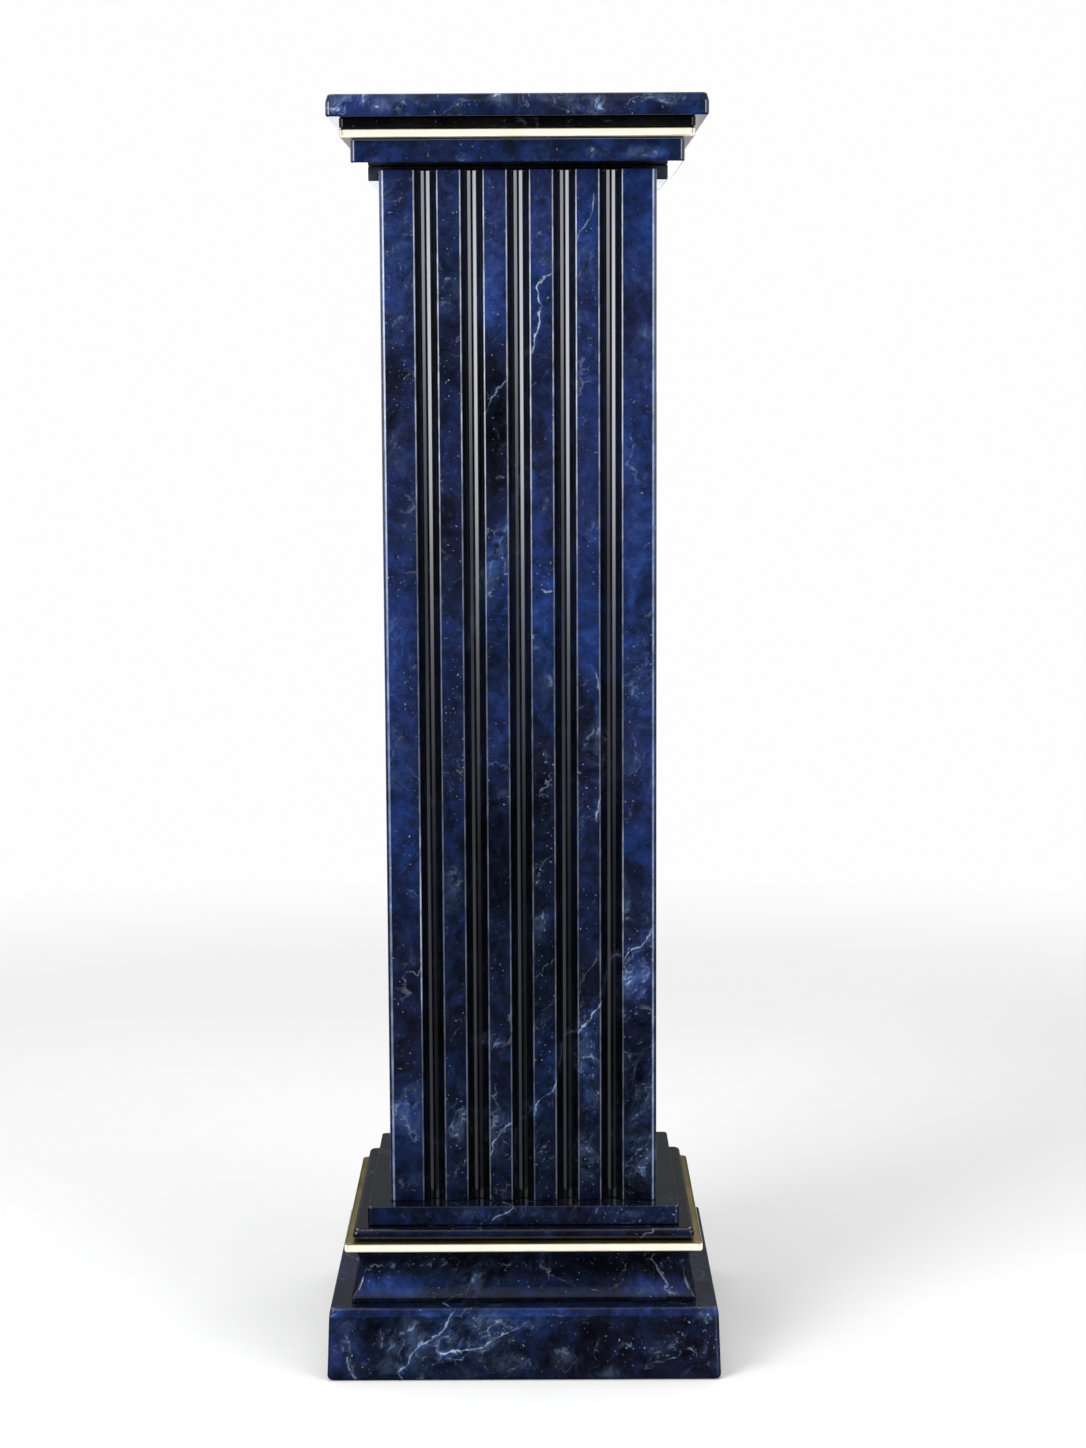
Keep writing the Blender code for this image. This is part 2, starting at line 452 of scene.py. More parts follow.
@dataclass(frozen=True)
class Grain:
    """The fields of noise that every marble here is made of, and how far they reach in metres."""

    warp: Swirl = Swirl(13.0, 4.0, 0.55)
    warp_reach: float = 0.055
    broad_tone: Swirl = Swirl(15.0, 8.0, 0.68)
    fine_tone: Swirl = Swirl(90.0, 6.0, 0.68)
    violet_patches: Swirl = Swirl(7.0, 3.0, 0.55, 0.42, 0.62)
    smoke_drift: Swirl = Swirl(11.0, 5.0, 0.65, 0.46, 0.68)
    smoke_puffs: Swirl = Swirl(55.0, 8.0, 0.78, 0.42, 0.70)
    smoke_threads: Swirl = Swirl(62.0, 5.0, 0.62, 1.75, 2.28, kind=Noise.RIDGED)
    hair_fray: Swirl = Swirl(110.0, 5.0, 0.66)
    hair_fray_reach: float = 0.016
    hair_patches: Swirl = Swirl(30.0, 5.0, 0.65, 0.50, 0.72)
    hair_cells: float = 20.0
    hair_width: float = 0.014
    fleck_grains: Swirl = Swirl(480.0, 1.0, 0.5, 0.70, 0.78)
    fleck_crowds: Swirl = Swirl(24.0, 5.0, 0.66, 0.44, 0.62, 0.06, 1.0)
    vein_jag: Swirl = Swirl(65.0, 6.0, 0.66)
    vein_jag_reach: float = 0.013
    vein_gaps: Swirl = Swirl(130.0, 3.0, 0.6)
    vein_slant: float = 0.6
    arris_breaks: Swirl = Swirl(55.0, 6.0, 0.7, 0.34, 0.66, 0.25, 1.0)
    rim_breaks: Swirl = Swirl(38.0, 6.0, 0.7, 0.34, 0.66, 0.16, 0.60)
    roughness: Swirl = Swirl(60.0, 4.0, 0.6, 0.3, 0.7, 0.07, 0.13)
    ripple: Swirl = Swirl(24.0, 2.0, 0.4)
    smoke_squeeze: float = 0.7
    hair_squeeze: float = 0.45
    tone_squeeze: float = 0.45
    lean: float = -34.0
    lace: Point = (1.15, 0.17)
    oval_core: float = 0.15


@dataclass(frozen=True)
class Marble:
    """Polished blue-black marble: clouds of tone, pale smoke, hair veins, long veins and flecks."""

    name: str
    seed: Place
    tone: tuple[Point, ...] = ((0.0, 0.45), (1.0, 0.45))
    tone_span: Point = (0.0, 1.0)
    swing: float = 1.275
    smoke: float = 0.5
    hair: float = 0.5
    flecks: float = 0.6
    clouds: tuple[Cloud, ...] = ()
    smokes: tuple[Cloud, ...] = ()
    veins: tuple[Vein, ...] = ()
    # Soft ovals of extra painted highlight along the shaft's arrises.
    arris_highlight_patches: tuple[Cloud, ...] = ()
    violet: float = 0.7
    front: float = 0.1067
    smoke_depth: float = 0.0
    # Painted shade on upward faces: how far the tone drops as the surface turns up.
    painted_ledge_shade: tuple[float, ...] = (0.6, 0.95, 0.0, -0.3)
    polish: float = 1.0
    coat_roughness: float = 0.025
    pale_roughness: float = 0.12
    ripple_strength: float = 0.12
    ripple_height: float = 0.0004
    arris: bool = False
    # How strongly the painted highlights along the arrises show, by height over the floor.
    arris_highlight_by_height: tuple[Point, ...] = (
        (0.13, 0.26), (0.40, 0.26), (0.60, 0.32), (0.72, 0.62), (0.85, 0.84), (0.95, 0.78),
    )
    shades: tuple[tuple[float, Colour], ...] = (
        (0.0, (0.0016, 0.0022, 0.0052)),
        (0.25, (0.0040, 0.0066, 0.0175)),
        (0.5, (0.0066, 0.0140, 0.0500)),
        (0.75, (0.0100, 0.0255, 0.1120)),
        (1.0, (0.0200, 0.0520, 0.2000)),
    )
    violet_cast: Colour = (1.55, 0.92, 0.80)
    # Painted shade: the colour inside the flutes is multiplied by this, to stand for the shade in those
    # hollows.
    painted_flute_shade: Colour = (0.26, 0.22, 0.17)
    flute_veins: float = 0.4
    smoke_colour: Colour = (0.150, 0.240, 0.470)
    vein_colour: Colour = (0.420, 0.500, 0.660)
    glow_colour: Colour = (0.035, 0.090, 0.260)
    # Colours of the painted highlights along the shaft's arrises and corner rims.
    arris_highlight_colour: Colour = (0.380, 0.420, 0.520)
    rim_highlight_colour: Colour = (0.340, 0.430, 0.660)
    grain: Grain = Grain()

    def oval(self, graph: NodeGraph, place: Value, cloud: Cloud, depth: float = 0.0) -> Socket:
        """Adds a soft oval.

        Args:
            graph: the material's nodes.
            place: the warped place in the stone.
            cloud: the oval.
            depth: how far it reaches in from the front, or 0 where it runs right through.

        Returns:
            Its strength in the middle, easing to nought at its rim.
        """
        middle = (cloud.across, -self.front, cloud.up)
        size = (1.0 / cloud.half_width, 1.0 / depth if depth else 0.0, 1.0 / cloud.half_height)
        out = graph.vector("LENGTH", graph.vector("MULTIPLY", graph.vector("SUBTRACT", place, middle), size))
        return graph.smooth(out, self.grain.oval_core, 1.0, cloud.strength, 0.0)

    def tone_field(self, graph: NodeGraph, warped: Value, bent: Value, height: Value) -> Socket:
        """Works out how blue the stone is, with painted shade on its ledges.

        Args:
            graph: the material's nodes.
            warped: the seeded and warped place.
            bent: the unseeded place, warped.
            height: the height over the floor.

        Returns:
            The tone, from 0, black, to 1, royal blue.
        """
        level = graph.curve(graph.share(height, *self.tone_span), self.tone)
        tall = graph.vector("MULTIPLY", warped, (1.0, 1.0, self.grain.tone_squeeze))
        tone = graph.math("ADD", level, graph.centred(tall, self.grain.broad_tone, self.swing))
        tone = graph.math("ADD", tone, graph.centred(warped, self.grain.fine_tone, self.swing))
        for cloud in self.clouds:
            tone = graph.math("ADD", tone, self.oval(graph, bent, cloud))
        # Upward faces get painted shade: their tone is lowered.
        return graph.math("ADD", tone, graph.smooth(graph.upness(), *self.painted_ledge_shade))

    def smoke_field(self, graph: NodeGraph, warped: Value, bent: Value) -> Socket:
        """Works out where pale smoke hangs in the stone.

        Args:
            graph: the material's nodes.
            warped: the seeded and warped place.
            bent: the unseeded place, warped.

        Returns:
            How thick the smoke is, from 0 to about 1.
        """
        amount = graph.math("MULTIPLY", graph.patchy(warped, self.grain.smoke_drift), self.smoke)
        patches = [self.oval(graph, bent, patch, self.smoke_depth) for patch in self.smokes]
        amount = graph.math("ADD", amount, graph.largest(patches))
        leaning = self.slanted(graph, warped, self.grain.smoke_squeeze)
        puffs = graph.patchy(leaning, self.grain.smoke_puffs)
        threads = graph.patchy(leaning, self.grain.smoke_threads)
        lace = graph.math("MULTIPLY_ADD", threads, *self.grain.lace)
        return graph.math("MULTIPLY", graph.math("MULTIPLY", puffs, lace), amount)

    def slanted(self, graph: NodeGraph, place: Value, squeeze: float) -> Socket:
        """Leans the place so that what is read there runs from upper right to lower left.

        Args:
            graph: the material's nodes.
            place: the place in the stone.
            squeeze: how far the pattern is drawn out along its slant, below 1 for longer.

        Returns:
            The leaned place.
        """
        lean = graph.add("ShaderNodeVectorRotate", rotation_type="Y_AXIS")
        graph.plug(place, lean.inputs["Vector"])
        graph.plug(math.radians(self.grain.lean), lean.inputs["Angle"])
        return graph.vector("MULTIPLY", lean.outputs[0], (1.0, 1.0, squeeze))

    def hair_field(self, graph: NodeGraph, warped: Value) -> Socket:
        """Works out the net of hair veins that runs through the whole stone.

        Args:
            graph: the material's nodes.
            warped: the seeded and warped place.

        Returns:
            How strongly a hair vein shows, from 0 to 1.
        """
        fray = graph.shove(warped, self.grain.hair_fray, self.grain.hair_fray_reach)
        leaning = self.slanted(graph, graph.vector("ADD", warped, fray), self.grain.hair_squeeze)
        cracks = graph.add("ShaderNodeTexVoronoi", feature="DISTANCE_TO_EDGE")
        graph.plug(leaning, cracks.inputs["Vector"])
        graph.plug(self.grain.hair_cells, cracks.inputs["Scale"])
        line = graph.smooth(cracks.outputs["Distance"], 0.0, self.grain.hair_width, self.hair, 0.0)
        return graph.math("MULTIPLY", line, graph.patchy(warped, self.grain.hair_patches))

    def fleck_field(self, graph: NodeGraph, spot: Value) -> Socket:
        """Scatters small pale flecks: 1 in a fleck, 0 beside it."""
        grains = graph.patchy(spot, replace(self.grain.fleck_grains, most=self.flecks))
        return graph.math("MULTIPLY", grains, graph.patchy(spot, self.grain.fleck_crowds))

    def lay_veins(
        self, graph: NodeGraph, colour: Value, spot: Value, place: Value
    ) -> tuple[Socket, list[Socket]]:
        """Finds the long veins and lays the glow beside them over the stone.

        Args:
            graph: the material's nodes.
            colour: the stone's colour.
            spot: the seeded place in the stone.
            place: the unseeded place in the stone.

        Returns:
            The colour with the glow, and a socket for each vein itself.
        """
        jag = graph.shove(spot, self.grain.vein_jag, self.grain.vein_jag_reach)
        uneven = graph.noise(spot, self.grain.vein_gaps).outputs["Fac"]
        ragged_across, _, ragged_up = graph.split(graph.vector("ADD", place, jag))
        depth = graph.math("ADD", graph.split(place)[1], self.front)
        across = graph.math("MULTIPLY_ADD", depth, self.grain.vein_slant, ragged_across)
        traced = [vein.trace(graph, across, ragged_up, uneven) for vein in self.veins]
        glow = graph.largest([glow for _, glow in traced])
        return graph.blend(glow, colour, self.glow_colour), [core for core, _ in traced]

    def paint_flute_shade(self, graph: NodeGraph, colour: Value, pale: Value) -> Socket:
        """Lays the veins over the stone, and paints shade inside the flutes, where the veins show more
        faintly.

        Args:
            graph: the material's nodes.
            colour: the stone's colour without veins.
            pale: how strongly veins and flecks show.

        Returns:
            The colour with veins, and painted shade in the flutes.
        """
        lit = graph.blend(pale, colour, self.vein_colour)
        faint = graph.blend(graph.math("MULTIPLY", pale, self.flute_veins), colour, self.vein_colour)
        return graph.blend(graph.mark(Ground.FLUTE), lit, graph.vector("MULTIPLY", faint, self.painted_flute_shade))

    def paint_arris_highlights(self, graph: NodeGraph, colour: Value, spot: Value, place: Value) -> Socket:
        """Paints highlights as pale lines along the arrises and the rims of the corners.

        Args:
            graph: the material's nodes.
            colour: the stone's colour.
            spot: the seeded place in the stone.
            place: the unseeded place in the stone.

        Returns:
            The colour with the painted highlights.
        """
        # Painted highlight along the arrises: broken up, set by height, with extra patches.
        broken = graph.patchy(spot, self.grain.arris_breaks)
        patches_and_painted_light = graph.largest([self.oval(graph, place, highlight_patch, highlight_patch.half_width) for highlight_patch in self.arris_highlight_patches])
        painted_light_share = graph.math("ADD", graph.curve(graph.split(place)[2], self.arris_highlight_by_height), patches_and_painted_light)
        amount = graph.math("MULTIPLY", graph.math("MULTIPLY", graph.mark(Ground.ARRIS), broken), painted_light_share)
        colour = graph.blend(amount, colour, self.arris_highlight_colour)
        # Painted highlight along the rims of the shaft's rounded corners.
        painted_rim_highlight = graph.math("MULTIPLY", graph.mark(Ground.RIM), graph.patchy(spot, self.grain.rim_breaks))
        return graph.blend(painted_rim_highlight, colour, self.rim_highlight_colour)

    def material(self) -> bpy.types.Material:
        """Builds the finish.

        Returns:
            The material.
        """
        material, graph = new_material(self.name)
        place = graph.place()
        spot = graph.vector("ADD", place, self.seed)
        shove = graph.shove(spot, self.grain.warp, self.grain.warp_reach)
        warped = graph.vector("ADD", spot, shove)
        bent = graph.vector("ADD", place, graph.vector("SCALE", shove, scale=0.5))

        colour = graph.ramp(self.tone_field(graph, warped, bent, graph.split(place)[2]), self.shades)
        hue = graph.patchy(spot, replace(self.grain.violet_patches, most=self.violet))
        colour = graph.blend(hue, colour, graph.vector("MULTIPLY", colour, self.violet_cast))
        cores: list[Socket] = []
        if self.veins:
            colour, cores = self.lay_veins(graph, colour, spot, place)
        colour = graph.blend(self.smoke_field(graph, warped, bent), colour, self.smoke_colour)
        pale = graph.largest([self.hair_field(graph, warped), *cores, self.fleck_field(graph, spot)])
        # On the shaft, painted shade darkens the flutes and painted highlights pale the arrises and the
        # corner rims.
        if self.arris:
            colour = self.paint_flute_shade(graph, colour, pale)
            colour = self.paint_arris_highlights(graph, colour, spot, place)
        else:
            colour = graph.blend(pale, colour, self.vein_colour)

        roughness = graph.patchy(spot, self.grain.roughness)
        shader = graph.fill("ShaderNodeBsdfPrincipled", {
            "Base Color": colour,
            "Roughness": graph.math("MULTIPLY_ADD", pale, self.pale_roughness, roughness),
            "Specular IOR Level": 0.5 * self.polish,
            "Coat Weight": self.polish,
            "Coat Roughness": self.coat_roughness,
            "Normal": graph.bump(self.grain.ripple, spot, self.ripple_strength, self.ripple_height),
        })
        graph.end(shader)
        return material


@dataclass(frozen=True)
class Gilt:
    """Pale polished gilding with a slight unevenness, a painted dark reflection towards its lower edge and
    painted shade on its ledges.
    """

    name: str
    low: float
    high: float
    bright: Colour = (0.96, 0.925, 0.79)
    # The darker colour of the random mottle and of the painted dark reflection along the lower edge.
    patches_and_painted_light: Colour = (0.60, 0.47, 0.22)
    # Painted shade: the deeper gold laid on upward faces.
    deep: Colour = (0.62, 0.49, 0.24)
    wander: Swirl = Swirl(40.0, 4.0, 0.6)
    wander_gain: float = 0.5
    # Painted dark reflection: how far up from the lower edge the darker colour reaches.
    lower_edge_painted_reflection: tuple[float, ...] = (0.0, 0.22, 0.8, 0.0)
    painted_ledge_gilt_shade: Point = (0.35, 0.9)
    undersides: Point = (-0.9, -0.5)
    mottle: Swirl = Swirl(90.0, 6.0, 0.65, 0.45, 0.75, 0.0, 0.10)
    brushing: Swirl = Swirl(1.0, 4.0, 0.6, 0.3, 0.7, 0.28, 0.38)
    brush_squeeze: Place = (30.0, 30.0, 600.0)
    dents: Swirl = Swirl(160.0, 4.0, 0.6)
    dent_strength: float = 0.15
    dent_depth: float = 0.0002

    def material(self) -> bpy.types.Material:
        """Builds the finish.

        Returns:
            The material.
        """
        material, graph = new_material(self.name)
        place = graph.place()
        height = graph.share(graph.split(place)[2], self.low, self.high)
        ragged = graph.math("ADD", height, graph.centred(place, self.wander, self.wander_gain))
        edge = graph.smooth(ragged, *self.lower_edge_painted_reflection)
        upness = graph.upness()
        # The darker colour shows in the random mottle and in the painted dark reflection near the lower
        # edge, kept off the undersides.
        painted_light_share = graph.math("MAXIMUM", edge, graph.patchy(place, self.mottle))
        painted_light_share = graph.math("MULTIPLY", painted_light_share, graph.smooth(upness, *self.undersides))
        colour = graph.blend(painted_light_share, self.bright, self.patches_and_painted_light)
        # Upward faces turn to the deeper gold: painted shade on the ledges.
        colour = graph.blend(graph.smooth(upness, *self.painted_ledge_gilt_shade), colour, self.deep)
        brushed = graph.vector("MULTIPLY", place, self.brush_squeeze)
        shader = graph.fill("ShaderNodeBsdfPrincipled", {
            "Base Color": colour,
            "Metallic": 1.0,
            "Roughness": graph.patchy(brushed, self.brushing),
            "Normal": graph.bump(self.dents, place, self.dent_strength, self.dent_depth),
        })
        graph.end(shader)
        return material


# Outlines and meshes


@dataclass
class Outline:
    """A closed or open path of points with outward normals, in a plane."""

    points: list[Vector] = field(default_factory=list)
    normals: list[Vector] = field(default_factory=list)
    grounds: list[Ground] = field(default_factory=list)

    def arc(
        self,
        centre: Point,
        radius: float,
        start: float,
        end: float,
        steps: int,
        ground: Ground,
        joined: bool = False,
    ) -> None:
        """Adds an arc.

        Args:
            centre: its centre.
            radius: its radius.
            start: the angle that it starts at, in degrees.
            end: the angle that it ends at; less than start for a hollow.
            steps: how many straight steps it is made of.
            ground: what its surface belongs to.
            joined: whether the last point so far is its first point.
        """
        facing = 1.0 if end > start else -1.0
        for step in range(1 if joined else 0, steps + 1):
            angle = math.radians(start + (end - start) * step / steps)
            out = Vector((math.cos(angle), math.sin(angle)))
            self.points.append(Vector(centre) + out * radius)
            self.normals.append(out * facing)
            self.grounds.append(ground if step else Ground.FLAT)

    def add(self, point: Point, normal: Point, ground: Ground = Ground.FLAT) -> None:
        """Adds a point.

        Args:
            point: the point.
            normal: its outward normal.
            ground: what the surface of the step that ends in it belongs to.
        """
        self.points.append(Vector(point))
        self.normals.append(Vector(normal))
        self.grounds.append(ground)

    def turned(self, angle: float) -> "Outline":
        """Gives the outline turned about the middle.

        Args:
            angle: the turn, in degrees.

        Returns:
            The turned outline.
        """
        turn = Matrix.Rotation(math.radians(angle), 2)
        return Outline([turn @ p for p in self.points], [turn @ n for n in self.normals], list(self.grounds))

    def join(self, other: "Outline") -> None:
        """Adds another outline's points after these.

        Args:
            other: the other outline.
        """
        self.points += other.points
        self.normals += other.normals
        self.grounds += other.grounds


def rounded(corners: list[Corner], steps: int = 8) -> list[Point]:
    """Rounds the corners of an open path.

    Args:
        corners: the path's corners, each with the radius that it is rounded to.
        steps: how many straight steps a full quarter turn gets.

    Returns:
        The path's points.
    """
    path: list[Point] = []
    for index, (x, y, radius) in enumerate(corners):
        here = Vector((x, y))
        if radius <= 0.0 or index in (0, len(corners) - 1):
            path.append((x, y))
            continue
        back = (Vector(corners[index - 1][:2]) - here).normalized()
        ahead = (Vector(corners[index + 1][:2]) - here).normalized()
        half_turn = back.angle(ahead) / 2
        set_back = radius / math.tan(half_turn)
        centre = here + (back + ahead).normalized() * (radius / math.sin(half_turn))
        first, last = here + back * set_back - centre, here + ahead * set_back - centre
        swing = math.pi - 2 * half_turn
        count = max(2, round(steps * swing / (math.pi / 2)))
        sense = 1.0 if first.x * last.y - first.y * last.x > 0 else -1.0
        for step in range(count + 1):
            spoke = Matrix.Rotation(sense * swing * step / count, 2) @ first
            path.append((centre.x + spoke.x, centre.y + spoke.y))
    return path


def square_ring(half: float, radius: float, steps: int) -> list[Point]:
    """Gives a square with rounded corners, anticlockwise from the front left corner.

    Args:
        half: half its width.
        radius: its corners' radius.
        steps: how many straight steps each corner gets.

    Returns:
        The ring's points.
    """
    ring: list[Point] = []
    for quarter, (sx, sy) in enumerate(((-1, -1), (1, -1), (1, 1), (-1, 1))):
        centre = (sx * (half - radius), sy * (half - radius))
        for step in range(steps + 1):
            angle = math.radians(180 + 90 * quarter + 90 * step / steps)
            ring.append((centre[0] + radius * math.cos(angle), centre[1] + radius * math.sin(angle)))
    return ring


def skin(name: str, rings: list[list[Vector]]) -> bpy.types.Mesh:
    """Makes a closed mesh of rings with equal numbers of points and flat ends.

    Args:
        name: the mesh's name.
        rings: the rings, lowest first, each anticlockwise seen from its far end.

    Returns:
        The mesh.
    """
    count = len(rings[0])
    verts = [tuple(p) for ring in rings for p in ring]
    faces = [tuple(range(count - 1, -1, -1))]
    for level in range(len(rings) - 1):
        low, high = level * count, (level + 1) * count
        for i in range(count):
            j = (i + 1) % count
            faces.append((low + i, low + j, high + j, high + i))
    top = (len(rings) - 1) * count
    faces.append(tuple(range(top, top + count)))
    mesh = bpy.data.meshes.new(name)
    mesh.from_pydata(verts, [], faces)
    mesh.validate()
    return mesh


def mount(mesh: bpy.types.Mesh, material: bpy.types.Material, node: str) -> bpy.types.Object:
    """Puts a piece in the scene, shades it and lets it stand for its solid.

    Args:
        mesh: the piece's mesh, in place.
        material: its finish.
        node: the solid that it stands for.

    Returns:
        The piece.
    """
    mesh.materials.append(material)
    mesh.shade_smooth()
    mesh.set_sharp_from_angle(angle=math.radians(SHARP_TURN))
    piece = bpy.data.objects.new(mesh.name, mesh)
    bpy.context.scene.collection.objects.link(piece)
    weigh = piece.modifiers.new("flat faces lead", "WEIGHTED_NORMAL")
    weigh.keep_sharp = True
    weigh.weight = FLAT_FACE_WEIGHT
    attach(piece, "root")
    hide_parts(node)
    log.info("%s: %d faces, finish %s", piece.name, len(mesh.polygons), material.name)
    return piece


@dataclass
class Course:
    """One square course of the column: a profile taken round a square with rounded corners."""

    node: str
    slot: str
    profile: list[Corner]
    corner: float
    finish: Marble | Gilt
    corner_steps: int = 7

    def build(self) -> bpy.types.Object:
        """Builds and dresses the course.

        Returns:
            The piece.
        """
        rings = []
        for half, height in rounded(self.profile):
            ring = square_ring(half, self.corner, self.corner_steps)
            rings.append([Vector((x, y, height)) for x, y in ring])
        kind = "stone" if isinstance(self.finish, Marble) else "metal"
        return mount(skin(f"{self.node}_{kind}", rings), self.finish.material(), self.node)


def slab_corners(half: float, low: float, high: float, foot: float, crown: float) -> list[Corner]:
    """Gives the profile of a plain slab, lowest point first.

    Args:
        half: half its width.
        low: the level of its underside.
        high: the level of its top.
        foot: how far its lower edge is rounded.
        crown: how far its upper edge is rounded.

    Returns:
        The profile's corners with their radii.
    """
    inner = half - max(foot, crown) - SLAB_INSET
    return [(inner, low, 0.0), (half, low, foot), (half, high, crown), (inner, high, 0.0)]


# Sub-assemblies, from the floor up


@dataclass
class Plinth:
    """The square block that the column stands on, with a sloped band round its upper edge."""

    low: float = 0.0
    high: float = 0.0585
    foot_half: float = 0.1566
    shoulder_half: float = 0.1546
    crown_half: float = 0.1536
    band_height: float = 0.0064
    foot_round: float = 0.0040
    shoulder_round: float = 0.0030
    crown_round: float = 0.0020
    corner: float = 0.0032

    def finish(self) -> Marble:
        """Gives the plinth's stone: black-blue, with a pale cloud and two veins left of the middle.

        Returns:
            The finish.
        """
        return Marble(
            name="plinth_marble",
            seed=(3.1, 0.4, 1.7),
            # The higher tone on the sloped band at the top is painted light, where the band tilts up to the
            # light.
            tone=((0.0, 0.32), (0.50, 0.36), (0.85, 0.38), (0.885, 0.66), (1.0, 0.66)),
            tone_span=(0.0, 0.060),
            swing=1.35,
            smoke=0.40,
            smoke_colour=(0.200, 0.290, 0.500),
            hair=0.50,
            front=0.1556,
            clouds=(
                # This first cloud pales the left end: a painted highlight where the rounded corner catches
                # light.
                Cloud(-0.142, 0.030, 0.030, 0.045, 0.22),
                Cloud(-0.118, 0.038, 0.016, 0.016, -0.20),
                Cloud(0.000, 0.046, 0.060, 0.022, 0.20),
                Cloud(0.060, 0.030, 0.060, 0.030, -0.12),
                Cloud(0.128, 0.020, 0.030, 0.024, -0.18),
            ),
            smokes=(
                Cloud(-0.106, 0.033, 0.016, 0.011, 1.40),
                Cloud(-0.078, 0.032, 0.018, 0.011, 1.50),
                Cloud(-0.090, 0.030, 0.036, 0.020, 0.70),
                Cloud(-0.140, 0.044, 0.013, 0.010, 1.00),
                Cloud(-0.140, 0.020, 0.016, 0.020, 0.60),
                Cloud(-0.102, 0.014, 0.018, 0.010, 1.00),
                Cloud(-0.020, 0.048, 0.050, 0.012, 1.20),
                Cloud(-0.040, 0.036, 0.034, 0.016, 0.80),
                Cloud(-0.058, 0.022, 0.012, 0.005, 1.30),
                Cloud(0.080, 0.028, 0.008, 0.005, 1.60),
                Cloud(0.142, 0.053, 0.010, 0.007, 1.50),
                Cloud(0.028, 0.022, 0.014, 0.016, 0.80),
                Cloud(0.068, 0.008, 0.014, 0.009, 1.00),
                Cloud(-0.012, 0.014, 0.026, 0.010, 0.80),
                Cloud(0.110, 0.030, 0.020, 0.016, 0.45),
            ),
            veins=(
                Vein(
                    (
                        (-0.0425, 0.0681), (-0.0513, 0.0615), (-0.0577, 0.0498), (-0.0682, 0.0367),
                        (-0.0833, 0.0277), (-0.0938, 0.0146), (-0.1026, 0.0056),
                    ),
                    width=0.0008, strength=0.75, halo=0.45, runs=Runs.ACROSS,
                ),
                Vein(
                    (
                        (-0.0700, 0.0250), (-0.0663, 0.0219), (-0.0556, 0.0231), (-0.0357, 0.0275),
                        (-0.0206, 0.0365), (-0.0047, 0.0438), (0.0060, 0.0490),
                    ),
                    width=0.0009, strength=0.8, halo=0.40, runs=Runs.ACROSS,
                    fades=((0.0, 0.0), (0.05, 1.3), (0.22, 1.2), (0.4, 0.8), (0.8, 0.6), (1.0, 0.0)),
                ),
                Vein(
                    ((-0.1330, 0.0020), (-0.1378, 0.0100), (-0.1400, 0.0200)),
                    width=0.0008, strength=0.5, halo=0.1,
                ),
            ),
        )

    def build(self) -> list[bpy.types.Object]:
        """Builds and dresses the plinth.

        Returns:
            Its piece.
        """
        band = self.high - self.band_height
        profile = [
            (self.foot_half - END_INSET, self.low, 0.0),
            (self.foot_half, self.low, self.foot_round),
            (self.shoulder_half, band, self.shoulder_round),
            (self.crown_half, self.high, self.crown_round),
            (self.crown_half - END_INSET, self.high, 0.0),
        ]
        return [Course("plinth", "plinth_marble", profile, self.corner, self.finish()).build()]


